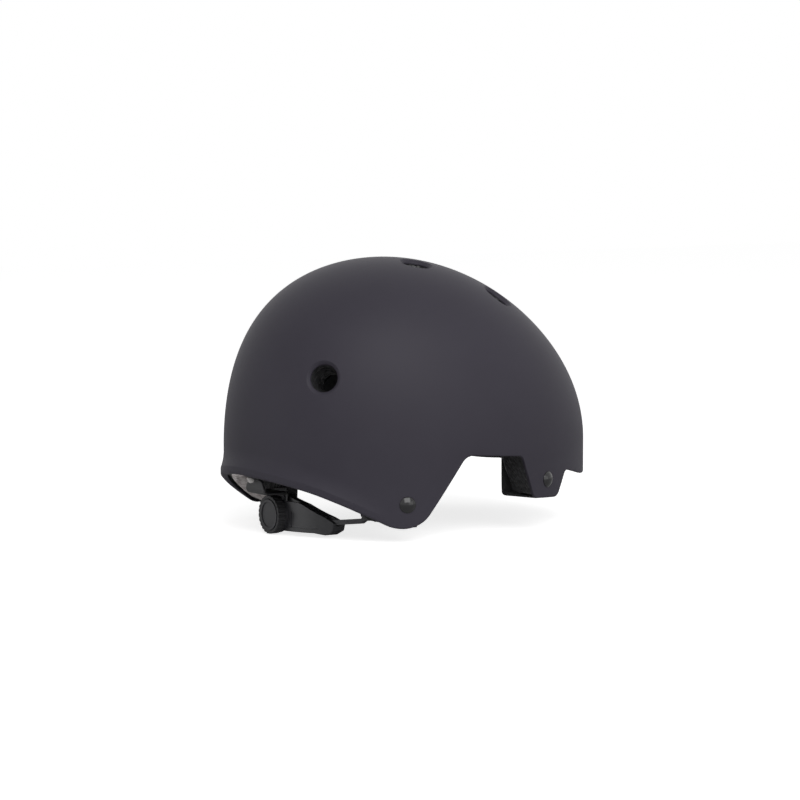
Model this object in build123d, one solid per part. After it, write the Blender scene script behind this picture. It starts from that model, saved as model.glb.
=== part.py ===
from build123d import *
import os
from math import pi, sin, cos, tan, acos, asin, atan, atan2, radians, sqrt, hypot

os.makedirs("parts", exist_ok=True)

# Shell. All forms are drawn with the crown at the origin, +Y to the rear and
# +X to the wearer's left, and moved to the part's own origin when they are saved.
SHELL_LENGTH = 271.0
SHELL_WIDTH = 215.4
CROWN_RISE = 131.3        # crown above the widest level
CROWN_LEAN = 19.0         # how far the crown stands behind mid length
CROWN_LEAN_MID = 9.7      # more of the same lean half way up
FULL_SIDE = 0.038         # fullness over a plain ellipse, as a share of the radius
FULL_FRONT = -0.0056
FULL_REAR = 0.0035
SHELL_WALL = 3.0
WALL_DEPTH = 60.0         # straight wall drawn below the widest level before the rim is cut
FLOOR_STEP = 0.1          # how much lower the floor of an inner dome lies, per mm of inset

# Rim line in side view: distance behind mid length, drop below the crown, rounding
RIM_REAR = (165.0, 134.0)
NAPE_BEND = (114.0, 155.6, 120.0)
LOBE_FOOT = (58.0, 186.2, 21.0)
ARCH_REAR = (20.6, 131.0, 10.0)
ARCH_FRONT = (-26.6, 134.3, 5.0)
TAB_REAR = (-38.5, 164.6, 4.5)
TAB_FRONT = (-64.5, 166.0, 6.5)
TAB_NOTCH = (-75.4, 147.9, 5.0)
BROW_LOW = (-110.0, 156.0, 60.0)
RIM_FRONT = (-165.0, 149.0)

# Turned-out lip round the nape
FLARE = 2.1               # how far the lip stands proud of the wall
FLARE_RISE = 12.0         # height of the curve that leads out to it
LIP = 5.0                 # height of its upright edge
FLARE_TURN = 61.0         # where it dies away, in degrees from the rear

# Vents, each a left and right pair: turn from the rear and latitude, in degrees
VENTS = {"nape": (35.5, 24.2), "top": (104.9, 74.9), "upper_front": (132.7, 51.3), "brow": (165.9, 18.3)}
VENT_BORE = 19.0          # hole through the shell
VENT_DISH = 27.5          # dished recess round it
VENT_DISH_DEPTH = 2.2
FOAM_VENT_TAPER = 6.0     # half angle of the hole through the foam, narrowing inwards

# Foam liner
FOAM_GAP = 0.3
FOAM_THICK = 23.0
FOAM_RECESS = 2.0         # rim of the foam above the rim of the shell
HOLLOW_START = 8.0        # the underside rises inwards from here, as an inset from the wall
HOLLOW_MID = 3.0          # how far it has risen at the inner edge, at the rear
HOLLOW_SIDE = 11.0        # and how much more of it half way to the lobes
HOLLOW_TURN = 54.0        # where the rise dies away, in degrees from the rear

# Strap rivets: distance behind mid length and drop below the crown
REAR_RIVET = (62.4, 163.1)
FRONT_RIVET = (-53.2, 152.6)
RIVET_HEAD = 11.0
RIVET_DOME = 2.6
RIVET_SHANK = 5.0
RIVET_HOLE_GAP = 0.1
RIVET_SEAT_DEPTH = 0.4
RIVET_TAIL = 0.8
RIVET_UPSET = 1.2         # how far the tail is spread past the shank
WASHER = 13.0
WASHER_THICK = 1.2

# Blank patch stuck under the foam at the left of the nape
LABEL_START = 7.0         # from the middle to its straight end
LABEL_TURN = 47.0         # turn from the rear at its other end
LABEL_THICK = 0.4
LABEL_GAP = 0.15
LABEL_MARGIN = 2.0

# Webbing harness
WEB_WIDTH = 15.0
WEB_THICK = 1.4
WEB_GAP = 0.3
WEB_SLOT_SIDE = 1.5       # room each side of the webbing in its slot in the foam
WEB_SLOT_RISE = 12.0      # slot above the rivet
WEB_SLOT_SPARE = 1.9      # room behind the washer in the slot
STRAP_END = 7.0           # webbing above the rivet
STRAP_OFF = 2.0           # middle of the webbing from the pads' face
LEG_FRONT_TOP = 127.5     # drop at which a leg starts to lean with the wall
LEG_REAR_TOP = 130.5
LAYER = 2.1               # step between one strap and the next over it
DIVIDER_TURN = 88.0
DIVIDER_LAT = 34.0
DIVIDER_WALL = 1.3
DIVIDER_LENGTH = 8.0
DIVIDER_SIDE = 1.9        # room at the straps' edges
DIVIDER_DEEP = 0.9        # room at their faces
KEEPER_GAP = 0.3
KEEPER_WALL = 1.4
KEEPER_LENGTH = 4.0
CHIN_PAD_WIDTH = 22.0
CHIN_PAD_THICK = 3.6
ROUTE_STEPS = 7

# Comfort pads
PAD_THICK = 6.0
PAD_GAP = 0.3
PAD_EDGE = 0.45           # thickness of a pad's ends, as a share of the middle
SIDE_STATIONS = [         # distance behind mid length, low and high drop, share of thickness
    (-61.0, 152.0, 122.0, PAD_EDGE),
    (-54.0, 160.0, 108.0, 1.0),
    (-44.0, 160.5, 100.0, 1.0),
    (-36.5, 153.0, 96.0, 1.0),
    (-29.0, 138.0, 94.0, 1.0),
    (-18.0, 130.0, 93.0, 1.0),
    (2.0, 128.5, 93.0, 1.0),
    (14.0, 127.5, 97.0, 1.0),
    (23.0, 122.0, 104.0, PAD_EDGE),
]
BROW_PAD_X = (22.0, 44.0, 54.0)
BROW_PAD_DROPS = (143.0, 112.0)
NAPE_PAD_X = (16.0, 32.0, 42.0)
NAPE_PAD_DROPS = (134.0, 110.0)
CROWN_PAD_WIDTH = 40.0
CROWN_PAD_LENGTH = 74.0
CROWN_PAD_Y = 20.0

# Fit ring: two bands that slide round a ring in the nape cradle
RING_Y = 37.0
BAND_THICK = 1.4
BAND_GAP = 0.3
BAND_RING = 65.2          # inside of the inner band
BAND_HEIGHT = 3.5         # the slim part outside the cradle
BAND_DROP = 178.8         # its middle where it leaves the cradle
BAND_EXIT = 46.0          # arc from the middle to where it starts to climb
BAND_CLIMB = 1.5
FIT_TRAVEL = 12.0         # how far the cradle draws forward
ANCHOR_Y = 66.0           # post that carries the band's eye, behind mid length
ANCHOR_DROP = 173.6
ANCHOR_BLOCK = 11.0
ANCHOR_CLEAR = 2.2        # from the band to the face of the block
EYE_WIDTH = 10.4          # along the band
EYE_HEIGHT = 7.0
EYE_NECK = 2.5
EYE_GAP = 0.6
EYE_PLAY = 0.4            # more room at the ends of its slot, for the turn of the band
POST = 3.2
POST_HEAD = 7.0
POST_HEAD_THICK = 1.2
POST_LENGTH = 14.0

# Dial and its pinion
DIAL_DROP = 176.0
DIAL_DIAMETER = 26.5
DIAL_FACE_Y = 114.5
DIAL_THICK = 6.0
DIAL_GROOVES = 24
DIAL_DISH = 0.6           # depth of the sunk face
DIAL_BORDER = 1.8         # width of the rim round it
GRIP_WALL = 2.6
GROOVE_R = 0.9
TOOTH_MODULE = 1.0
PINION_TEETH = 9
ADDENDUM = 0.8
DEDENDUM = 1.15
TOOTH_FOOT = 0.35         # a pinion tooth is this much wider at its root, each side
TOOTH_PLAY = 0.16         # taken off each flank
SLOT_PLAY = 0.5           # between the pinion and the plain edge of a band's slot
SLOT_SPARE = 0.7          # slot past the pinion at each end of its travel
BAND_RAIL = 2.2           # material above and below the slot
PADDLE_IN = 3.0           # material past the slot at its inner end
PADDLE_OUT = 4.0
SHAFT = 5.0
SHAFT_GAP = 0.06
STUB_R = 1.9              # pinion's journal on the head side
SQUARE = 3.4              # square that drives the knob
SQUARE_GAP = 0.05
SCREW_R = 0.9
SCREW_HEAD_R = 2.6
SCREW_HEAD_THICK = 1.25
CLICK_R = 8.4             # ring of notches for the click spring
CLICK_DEEP = 1.6
CLICK_NOTCH_R = 0.7
CLICK_THICK = 1.0

# Cradle: right half of its outline in front view
CRADLE_WALL = 1.7
CRADLE_GAP = 0.25
CRADLE_OUTLINE = [
    (0.0, -160.6), (9.5, -161.2), (13.0, -163.6), (25.0, -167.2), (41.0, -175.4),
    (46.0, -179.0), (45.2, -184.5), (41.5, -187.6), (34.0, -186.5), (0.0, -186.9),
]
CRADLE_ROUND = 1.5
WEB_STEP = 2.4            # the web above the bands stands back this far
WEB_LINE = [(24.0, -166.2), (41.0, -174.4), (60.0, -180.0)]
PANEL_DEPTH = 0.8
PANEL_LINE = [(15.0, -172.6), (36.0, -177.2), (37.5, -184.0), (15.0, -184.0)]
CRADLE_PAD = 4.0
CRADLE_PAD_LINE = [(8.0, -165.6), (18.0, -168.0), (36.0, -177.2), (37.0, -184.2), (8.0, -183.2)]
CRADLE_PAD_ROUND = 2.5
PEG_X = 9.0               # pegs on the web that hold the hanger strip
PEG_DROP = 163.4
PEG_R = 1.0
PEG_HEAD_R = 1.8
PEG_HEAD_THICK = 0.8

# Hanger that carries the cradle from the foam
HANGER_WIDTH = 24.0
HANGER_THICK = 1.8
HANGER_TONGUE = 10.0      # width of its end under the foam
HANGER_REAR = 131.0       # its rear end and its upright part, behind mid length
HANGER_BEND = 124.5
HANGER_RUN = 160.2        # drop of the level part that runs forward to the cradle
HANGER_FOOT = 165.8
HANGER_SHOULDER = 152.5   # drop at which it is full width
STUD_Y = 128.2
STUD_HEAD = 5.0
STUD_RISE = 3.0
STUD_SHANK = 2.8
STUD_LENGTH = 9.0
STUD_GAP = 0.1

# Buckle
BUCKLE_INSET = 38.0       # where its bars lie
BUCKLE_LAT = 69.0
BUCKLE_WIDTH = 21.0
BUCKLE_THICK = 7.0
BUCKLE_WALL = 1.4
BUCKLE_ROUND = 1.6
BUCKLE_BAR = 2.4          # bar that the webbing is sewn round, along the strap
BUCKLE_BAR_THICK = 3.0
BUCKLE_BAR_OUT = 4.6      # how far it reaches past the end of the body
BUCKLE_PART = 0.3         # half the gap between the two halves
PRONG = 3.0
PRONG_REACH = 15.0
CLIP_GAP = 0.35
WINDOW = (5.5, 12.5)      # side openings that the prongs snap into
TONGUE = 4.0

HEIGHT = DIAL_DROP + DIAL_DIAMETER / 2
PLACE = Location((0, -FLARE / 2, HEIGHT))
FOAM_OUT = SHELL_WALL + FOAM_GAP
FOAM_IN = FOAM_OUT + FOAM_THICK
PAD_OUT = FOAM_IN + PAD_GAP
STRAP_INSET = PAD_OUT + PAD_THICK + STRAP_OFF
STEP = 1.0                # a cut's overrun past the face it opens
FAR = 400.0               # longer than anything here
TOP = (Align.CENTER, Align.CENTER, Align.MAX)
BOTTOM = (Align.CENTER, Align.CENTER, Align.MIN)
GRID = 25


def save(name, *solids):
    """Move finished solids to the part's origin and write them as one sub-part."""
    body = Compound(children=[PLACE * s for one in solids for s in one.solids()])
    body.label = name
    export_step(body, f"parts/{name}.step")


def dome_point(inset, turn, lat):
    """Point of the dome set in by inset, at a turn from the rear and a latitude.

    Below the widest level (a negative latitude) the wall drops straight down.
    """
    up = max(lat, 0.0)
    ends = (FULL_FRONT + FULL_REAR) / 2 + (FULL_REAR - FULL_FRONT) / 2 * cos(turn)
    swell = 1 + (FULL_SIDE * sin(turn) ** 2 + ends * cos(turn) ** 2) * sin(2 * up) ** 2
    reach = cos(up) * swell
    rise = sin(up) * swell if lat > 0 else lat
    lean = CROWN_LEAN * sin(up) ** 2 + CROWN_LEAN_MID * (sin(up) * cos(up)) ** 2
    return Vector(
        (SHELL_WIDTH / 2 - inset) * reach * sin(turn),
        (SHELL_LENGTH / 2 - inset) * reach * cos(turn) + lean,
        -CROWN_RISE + (CROWN_RISE - inset) * rise,
    )


domes = {}


def dome(inset):
    """Solid under the dome set in by inset, closed by a flat floor below the rim."""
    if inset in domes:
        return domes[inset]
    depth = WALL_DEPTH + FLOOR_STEP * inset
    reach = 1 + depth / (CROWN_RISE - inset) / (pi / 2)
    rows = []
    for i in range(GRID):
        v = 2 * i / (GRID - 1) - 1
        row = []
        for j in range(GRID):
            u = 2 * j / (GRID - 1) - 1
            across, along = u * sqrt(1 - v * v / 2), v * sqrt(1 - u * u / 2)
            out = hypot(across, along) * reach
            row.append(dome_point(inset, atan2(across, along), (1 - out) * pi / 2))
        rows.append(row)
    skin = Face.make_surface_from_array_of_points(rows, tol=0.05, min_deg=3, max_deg=3)
    floor = Face(Wire(skin.edges()))
    domes[inset] = Solid(Shell([skin, floor]))
    return domes[inset]


def dome_normal(turn, lat):
    """Outward normal of the dome, from two short steps along it."""
    small = 0.002
    here = dome_point(0, turn, lat)
    round_it = dome_point(0, turn + small, lat) - here
    up_it = dome_point(0, turn, lat + small) - here
    return round_it.cross(up_it).normalized() * -1


def mirrored(shape):
    return mirror(shape, about=Plane.YZ)


def below_rim(lift):
    """All that lies below the rim line, from side to side, with the line lifted."""
    corners = [NAPE_BEND, LOBE_FOOT, ARCH_REAR, ARCH_FRONT, TAB_REAR, TAB_FRONT, TAB_NOTCH, BROW_LOW]
    points = [RIM_REAR] + [c[:2] for c in corners] + [RIM_FRONT]
    points = [(y, -drop) for y, drop in points]
    low = -(CROWN_RISE + 2 * WALL_DEPTH)
    line = FilletPolyline(*points, radius=[c[2] for c in corners])
    sides = Polyline(points[-1], (points[-1][0], low), (points[0][0], low), points[0])
    area = make_face([*line.edges(), *sides.edges()])
    if lift:
        area = offset(area, amount=lift)
    return extrude(Plane.YZ * area, amount=SHELL_WIDTH, both=True)


def rim_slope(y):
    """Fall of the rim line towards the front, round the nape."""
    (y0, drop0), (y1, drop1) = (RIM_REAR, NAPE_BEND[:2]) if y > NAPE_BEND[0] else (NAPE_BEND[:2], LOBE_FOOT[:2])
    return (drop1 - drop0) / (y0 - y1)


def rim_drop(y):
    """Drop of the rim round the nape, between the rear and the lobes."""
    return NAPE_BEND[1] + rim_slope(y) * (NAPE_BEND[0] - y)


def foam_under(y):
    """Height of the foam's underside round the nape, where it follows the rim."""
    return -rim_drop(y) + FOAM_RECESS * hypot(1, rim_slope(y))


def wall_frame(turn):
    """Foot of the wall at a turn, and a function for points in the upright plane there."""
    foot = dome_point(0, turn, 0)
    out = Vector(foot.X / SHELL_WIDTH ** 2, foot.Y / SHELL_LENGTH ** 2, 0).normalized()

    def at(away, height):
        return Vector(foot.X, foot.Y, 0) + out * away + Vector(0, 0, height)

    return at


def nape_lip():
    """Strip that leads the wall out to the upright lip, lofted round the nape."""
    stations = 13
    sections = []
    root = SHELL_WALL / 2
    start = 0.28 * SHELL_WALL
    for i in range(stations):
        share = 2 * i / (stations - 1) - 1
        at = wall_frame(radians(FLARE_TURN) * share)
        rim = -rim_drop(at(0, 0).Y)
        proud = (FLARE + start) * (1 - share ** 4) - 0.8 * start
        edge, top = rim + LIP, rim + LIP + FLARE_RISE
        hollow = at(-start + 0.3 * (proud + start) - 0.06, rim + LIP + 0.45 * FLARE_RISE)
        lead = ThreePointArc(at(-start, top), hollow, at(proud, edge))
        foot = rim - LIP
        rest = Polyline(at(proud, edge), at(proud, foot), at(-root, foot), at(-root, top), at(-start, top))
        sections.append(Wire([*lead.edges(), *rest.edges()]))
    return Solid.make_loft(sections)


def nape_hollow(lower):
    """All that lies under the hollowed underside of the foam at the nape, moved down by lower.

    From HOLLOW_START inwards the underside rises above the plane of the rim, least at
    the rear and near the lobes and most half way between.
    """
    stations = 17
    spare = 3.0
    sections = []
    for i in range(stations):
        share = 2 * i / (stations - 1) - 1
        at = wall_frame(radians(HOLLOW_TURN) * share)
        rise = HOLLOW_MID * (1 - share ** 4) + HOLLOW_SIDE * sin(pi * share) ** 2 - 0.6
        ends = []
        for inset in (HOLLOW_START - spare, FOAM_IN + 2 * spare):
            climb = rise * (inset - HOLLOW_START) / (FOAM_IN - HOLLOW_START) - 0.2 - lower
            ends.append((inset, foam_under(at(-inset, 0).Y) + climb))
        (near, near_z), (deep, deep_z) = ends
        low = -CROWN_RISE - 2 * WALL_DEPTH
        corners = [at(-near, near_z), at(-deep, deep_z), at(-deep, low), at(-near, low)]
        sections.append(Wire(Polyline(*corners, close=True).edges()))
    return Solid.make_loft(sections)


def below_foam(lower):
    """All that lies under the foam's underside moved down by lower."""
    return below_rim(FOAM_RECESS - lower) + nape_hollow(lower)


def button(width, rise):
    """Domed round head standing on the plane z = 0, with a short upright edge."""
    edge = 0.2 * rise
    cap = rise - edge
    sphere = ((width / 2) ** 2 + cap ** 2) / (2 * cap)
    ball = Pos(0, 0, rise - sphere) * Rot(90, 0, 0) * Sphere(sphere)
    return ball & Cylinder(width / 2, 2 * rise, align=BOTTOM)


def vent_axes():
    """Place and outward direction of every vent, left and right."""
    for turn, lat in VENTS.values():
        here = dome_point(0, radians(turn), radians(lat))
        out = dome_normal(radians(turn), radians(lat))
        for side in (1, -1):
            yield Plane(
                origin=(side * here.X, here.Y, here.Z),
                x_dir=(0, 0, 1) if abs(out.Z) < 0.8 else (0, 1, 0),
                z_dir=(side * out.X, out.Y, out.Z),
            )


def vent_dish():
    """Cutter for a vent in the shell: a bore with a dished mouth."""
    bore, dish = VENT_BORE / 2, VENT_DISH / 2
    deep = 2 * SHELL_WALL
    middle = ((bore + dish) / 2 - 0.4, -0.36 * VENT_DISH_DEPTH)
    mouth = ThreePointArc((bore, -VENT_DISH_DEPTH), middle, (dish, 0.25))
    rest = Polyline((dish, 0.25), (dish, deep), (0, deep), (0, -deep), (bore, -deep), (bore, -VENT_DISH_DEPTH))
    return revolve(Plane.XZ * make_face([*mouth.edges(), *rest.edges()]), axis=Axis.Z)


def foam_vent():
    """Cutter for a vent through the foam, narrowing towards the head."""
    wide = VENT_BORE / 2 + 0.5
    deep = FOAM_IN + 4
    narrow = wide - deep * tan(radians(FOAM_VENT_TAPER))
    return Pos(0, 0, STEP - deep / 2) * Cone(narrow, wide, deep)


# Outer shell: one moulding, dished at its vents, with flat seats for the rivets
rivet_planes = []
for y, drop in (REAR_RIVET, FRONT_RIVET):
    turn = acos(y / (SHELL_LENGTH / 2))
    here, out = dome_point(0, turn, 0), dome_normal(turn, -0.1)
    for side in (1, -1):
        rivet_planes.append(
            Plane(origin=(side * here.X, here.Y, -drop), x_dir=(0, 0, 1), z_dir=(side * out.X, out.Y, 0))
        )

shell = dome(0) + nape_lip()
shell = shell - dome(SHELL_WALL)
shell = shell - below_rim(0)
for vent in vent_axes():
    shell = shell - vent * vent_dish()
rivet_hole = Cylinder(RIVET_SHANK / 2 + RIVET_HOLE_GAP, 4 * SHELL_WALL)
rivet_seat = Pos(0, 0, -RIVET_SEAT_DEPTH) * Cylinder(RIVET_HEAD / 2 + 0.3, 2 * SHELL_WALL, align=BOTTOM)
for place in rivet_planes:
    shell = shell - place * rivet_seat
    shell = shell - place * rivet_hole
save("outer_shell", shell)

# Foam liner: follows the shell, hollowed under the nape, with slots behind the rivets
# for the webbing; the stud's hole is cut further on and the liner saved there
foam = dome(FOAM_OUT) - dome(FOAM_IN)
foam = foam - below_rim(FOAM_RECESS)
foam = foam - nape_hollow(0)
for vent in vent_axes():
    foam = foam - vent * foam_vent()
slot_depth = WEB_THICK + WASHER_THICK + WEB_SLOT_SPARE
for place in rivet_planes:
    slot = Box(
        WEB_SLOT_RISE + 2 * WALL_DEPTH, WEB_WIDTH + 2 * WEB_SLOT_SIDE, slot_depth + STEP,
        align=(Align.MAX, Align.CENTER, Align.MIN),
    )
    foam = foam - place * Pos(WEB_SLOT_RISE, 0, -FOAM_OUT - slot_depth) * slot

# Rivets: domed head outside, peened over a washer inside, each turned in one piece
washer_depth = SHELL_WALL + WEB_THICK + 2 * WEB_GAP
tail_depth = washer_depth + WASHER_THICK
shank_r = RIVET_SHANK / 2
seat = -RIVET_SEAT_DEPTH
rivet = (
    Pos(0, 0, seat) * button(RIVET_HEAD, RIVET_DOME)
    + Pos(0, 0, seat + 0.1) * Cylinder(shank_r, seat + 0.1 + tail_depth + 0.1, align=TOP)
    + Pos(0, 0, -tail_depth) * Cylinder(shank_r + RIVET_UPSET, RIVET_TAIL, align=TOP)
)
washer = Pos(0, 0, -washer_depth) * (Cylinder(WASHER / 2, WASHER_THICK, align=TOP) - rivet_hole)
save("strap_rivets", *[place * rivet for place in rivet_planes])
save("rivet_washers", *[place * washer for place in rivet_planes])

# Blank patch stuck under the foam
patch = below_foam(LABEL_GAP) - below_foam(LABEL_GAP + LABEL_THICK)
patch = patch & (dome(FOAM_OUT + LABEL_MARGIN) - dome(FOAM_IN - LABEL_MARGIN))
label_end = radians(LABEL_TURN)
wedge = [
    (LABEL_START, LABEL_START / tan(label_end)), (LABEL_START, FAR), (FAR * sin(label_end), FAR * cos(label_end)),
]
patch = patch & extrude(make_face(Polyline(*wedge, close=True).edges()), amount=CROWN_RISE + WALL_DEPTH, both=True)
save("inner_label", patch)


def wall_point(inset, lat, x=None, y=None, front=False):
    """Point of an inner dome at a latitude, where a plane across x or y cuts it."""
    turn = pi / 2 if y is not None else (pi if front else 0.0)
    for _ in range(12):
        here = dome_point(inset, turn, lat)
        if y is not None:
            span = (SHELL_LENGTH / 2 - inset) * cos(max(lat, 0))
            turn = acos(max(-1, min(1, cos(turn) + (y - here.Y) / span)))
        else:
            span = (SHELL_WIDTH / 2 - inset) * cos(max(lat, 0))
            turn = asin(max(-1, min(1, sin(turn) + (x - here.X) / span)))
            turn = pi - turn if front else turn
    return dome_point(inset, turn, lat)


def lat_of(drop):
    """Latitude of a drop on the pads' outer face."""
    share = (CROWN_RISE - drop) / (CROWN_RISE - PAD_OUT)
    return asin(share) if share > 0 else share


def cushion(stations, front=False, across="y"):
    """Crowned pad lofted through sections at x or y: each has the place, its low
    and high drop and its thickness as a share of the full one."""
    sections = []
    for place, low, high, share in stations:
        thick = PAD_THICK * share
        lo, hi = lat_of(low), lat_of(high)
        turn_in = 0.45 * thick / (CROWN_RISE - PAD_OUT)

        def at(inset, lat):
            return wall_point(inset, lat, front=front, **{across: place})

        out = [at(PAD_OUT, lo), at(PAD_OUT, (lo + hi) / 2), at(PAD_OUT, hi)]
        face = PAD_OUT + thick
        inn = [at(face, hi - turn_in), at(face, (lo + hi) / 2), at(face, lo + turn_in)]
        top = (out[2] + inn[0]) * 0.5 + Vector(0, 0, 0.16 * thick)
        foot = (out[0] + inn[2]) * 0.5 - Vector(0, 0, 0.16 * thick)
        arcs = [
            ThreePointArc(*out),
            ThreePointArc(out[2], top, inn[0]),
            ThreePointArc(*inn),
            ThreePointArc(inn[2], foot, out[0]),
        ]
        sections.append(Wire([edge for arc in arcs for edge in arc.edges()]))
    return Solid.make_loft(sections) & dome(PAD_OUT)


def arc_stations(places, drops, low_rise, high_rise):
    """Stations of a pad that runs across the mid plane, with thin ends."""
    stations = []
    for x in [-x for x in reversed(places)] + [0.0] + list(places):
        share = PAD_EDGE if abs(x) == places[-1] else 1.0
        stations.append((x, drops[0] + low_rise * abs(x), drops[1] + high_rise * abs(x), share))
    return stations


# Side pads run from the front tab over the ear arch, brow and nape pads across the
# mid plane, and a rounded pad lies under the crown
side_pad = cushion(SIDE_STATIONS)
save("side_pad_left", side_pad)
save("side_pad_right", mirrored(side_pad))
save("brow_pad", cushion(arc_stations(BROW_PAD_X, BROW_PAD_DROPS, 0.05, 0.125), front=True, across="x"))
save("nape_pad", cushion(arc_stations(NAPE_PAD_X, NAPE_PAD_DROPS, 0.0, 0.125), across="x"))

plug = extrude(SlotOverall(CROWN_PAD_LENGTH, CROWN_PAD_WIDTH, rotation=90), amount=-CROWN_RISE)
crown_pad = (dome(PAD_OUT) & Pos(0, CROWN_PAD_Y, 0) * plug) - dome(PAD_OUT + PAD_THICK)
for vent in vent_axes():
    crown_pad = crown_pad - vent * foam_vent()
save("crown_pad", crown_pad)

# Fit ring, cradle and dial
dial_z = -DIAL_DROP
pitch_r = TOOTH_MODULE * PINION_TEETH / 2
tooth_pitch = pi * TOOTH_MODULE
tip_r = pitch_r + ADDENDUM
root_r = pitch_r - DEDENDUM
half_tooth = tooth_pitch / 4 - TOOTH_PLAY
flank = tan(radians(20))
slot_half = tip_r + SLOT_PLAY
paddle_half = slot_half + BAND_RAIL
slot_start = -(tip_r + SLOT_SPARE)
slot_end = FIT_TRAVEL + tip_r + SLOT_SPARE
paddle_start = slot_start - PADDLE_IN
paddle_end = slot_end + PADDLE_OUT
layer_in = BAND_RING
layer_out = BAND_RING + BAND_THICK + BAND_GAP
channel_in = layer_in - CRADLE_GAP
channel_out = layer_out + BAND_THICK + CRADLE_GAP
cover_out = channel_out + CRADLE_WALL


def ring_part(inner, outer):
    """Upright ring about the fit ring's centre, its rear half only."""
    ring = Cylinder(outer, WALL_DEPTH) - Cylinder(inner, 2 * WALL_DEPTH)
    half = Pos(0, outer, 0) * Box(4 * outer, 2 * outer, 2 * WALL_DEPTH)
    return Pos(0, RING_Y, dial_z) * (ring & half)


def through(area):
    """An outline in front view, run through from front to rear."""
    return extrude(Plane.XZ * area, amount=FAR, both=True)


def rack_line(radius, side, up):
    """Toothed edge of a band's slot, along the arc, as front-view points.

    side is +1 for the wearer's left; up is +1 where the teeth hang from the top.
    """
    first = 0.5 if up > 0 else 0.0
    count = int((slot_end - slot_start) / tooth_pitch)
    start = (int(slot_start / tooth_pitch) + first) * tooth_pitch
    points = []
    for i in range(count):
        middle = start + i * tooth_pitch
        if middle - tooth_pitch / 2 < slot_start or middle + tooth_pitch / 2 > slot_end:
            continue
        root = half_tooth + DEDENDUM * flank
        tip = half_tooth - ADDENDUM * flank
        for away, deep in ((-root, DEDENDUM), (-tip, -ADDENDUM), (tip, -ADDENDUM), (root, DEDENDUM)):
            x = side * radius * sin((middle + away) / radius)
            points.append((x, dial_z + up * (pitch_r + deep)))
    return points


def fit_band(inner, side, up):
    """Band on one layer of the ring: slotted toothed end, slim strip and eyed end."""
    radius = inner + BAND_THICK / 2

    def x_at(arc):
        return side * radius * sin(arc / radius)

    half = BAND_HEIGHT / 2
    turn = acos((ANCHOR_Y - RING_Y) / radius)
    drift = FIT_TRAVEL - radius * (cos(turn - FIT_TRAVEL / radius) - cos(turn))
    eye_y = ANCHOR_Y + drift / 2
    anchor = acos((eye_y - RING_Y) / radius) * radius
    neck = anchor - EYE_WIDTH / 2 - EYE_NECK
    z_exit, z_end = -BAND_DROP, -ANCHOR_DROP
    outline = Polyline(
        (x_at(paddle_start), dial_z - paddle_half),
        (x_at(paddle_end - 2.0), dial_z - paddle_half),
        (x_at(paddle_end + 2.0), z_exit - half),
        (x_at(BAND_EXIT), z_exit - half),
        (x_at(neck), z_exit + BAND_CLIMB - half),
        (x_at(anchor - EYE_WIDTH / 2), z_end - EYE_HEIGHT / 2),
        (x_at(anchor + EYE_WIDTH / 2), z_end - EYE_HEIGHT / 2),
        (x_at(anchor + EYE_WIDTH / 2), z_end + EYE_HEIGHT / 2),
        (x_at(anchor - EYE_WIDTH / 2), z_end + EYE_HEIGHT / 2),
        (x_at(neck), z_exit + BAND_CLIMB + half),
        (x_at(BAND_EXIT), z_exit + half),
        (x_at(paddle_end + 2.0), z_exit + half),
        (x_at(paddle_end), dial_z + paddle_half),
        (x_at(paddle_start), dial_z + paddle_half),
        close=True,
    )
    area = make_face(outline.edges())
    teeth = rack_line(radius, side, up)
    far = dial_z - up * slot_half
    near = dial_z + up * (pitch_r + DEDENDUM)
    slot = Polyline(
        (x_at(slot_start), near), *teeth, (x_at(slot_end), near),
        (x_at(slot_end), far), (x_at(slot_start), far), close=True,
    )
    area = area - make_face(slot.edges())
    eye_high = POST + 2 * EYE_GAP
    eye = extrude(SlotOverall(eye_high + drift + EYE_PLAY, eye_high), amount=EYE_WIDTH, both=True)
    eye = Plane(origin=(x_at(anchor), eye_y, z_end), x_dir=(0, 1, 0), z_dir=(1, 0, 0)) * eye
    return (ring_part(inner, inner + BAND_THICK) & through(area)) - eye


save("fit_band_left", fit_band(layer_in, 1, 1))
save("fit_band_right", fit_band(layer_out, -1, -1))

# Cradle: base towards the head, cover outside with a channel for the bands
outline = CRADLE_OUTLINE + [(-x, z) for x, z in reversed(CRADLE_OUTLINE[1:-1])]
cradle_area = make_face(Polyline(*outline, close=True).edges())
cradle_area = fillet(cradle_area.vertices().filter_by(lambda v: abs(v.X) > 1), CRADLE_ROUND)
channel_half = paddle_half + 0.3
reach_x = (layer_out + BAND_THICK) * sin((paddle_end + 3.0) / layer_out)
channel = Pos(0, dial_z) * Rectangle(2 * reach_x, 2 * channel_half)
exits = Pos(0, -BAND_DROP + BAND_CLIMB / 2) * Rectangle(4 * reach_x, BAND_HEIGHT + BAND_CLIMB + 1.0)
base = ring_part(channel_in - CRADLE_WALL, channel_in) & through(cradle_area)
cover = ring_part(channel_in + 0.05, cover_out) & through(cradle_area)
cover = cover - (ring_part(channel_in - STEP, channel_out) & through(channel + exits))
web_line = [(WEB_LINE[-1][0], -CROWN_RISE)] + WEB_LINE[::-1]
web_line = web_line + [(-x, z) for x, z in reversed(web_line)]
web_cut = make_face(Polyline(*web_line, close=True).edges())
cover = cover - (ring_part(cover_out - WEB_STEP, cover_out + FIT_TRAVEL) & through(web_cut))
for side in (1, -1):
    sunk = make_face(Polyline(*[(side * x, z) for x, z in PANEL_LINE], close=True).edges())
    cover = cover - (ring_part(cover_out - PANEL_DEPTH, cover_out + FIT_TRAVEL) & through(sunk))
web_face = RING_Y + cover_out - WEB_STEP
boss_face = DIAL_FACE_Y - DIAL_THICK - 0.3
boss_r = DIAL_DIAMETER / 2 - 0.5
dial_axis = Plane(origin=(0, 0, dial_z), x_dir=(1, 0, 0), z_dir=(0, 1, 0))


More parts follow.
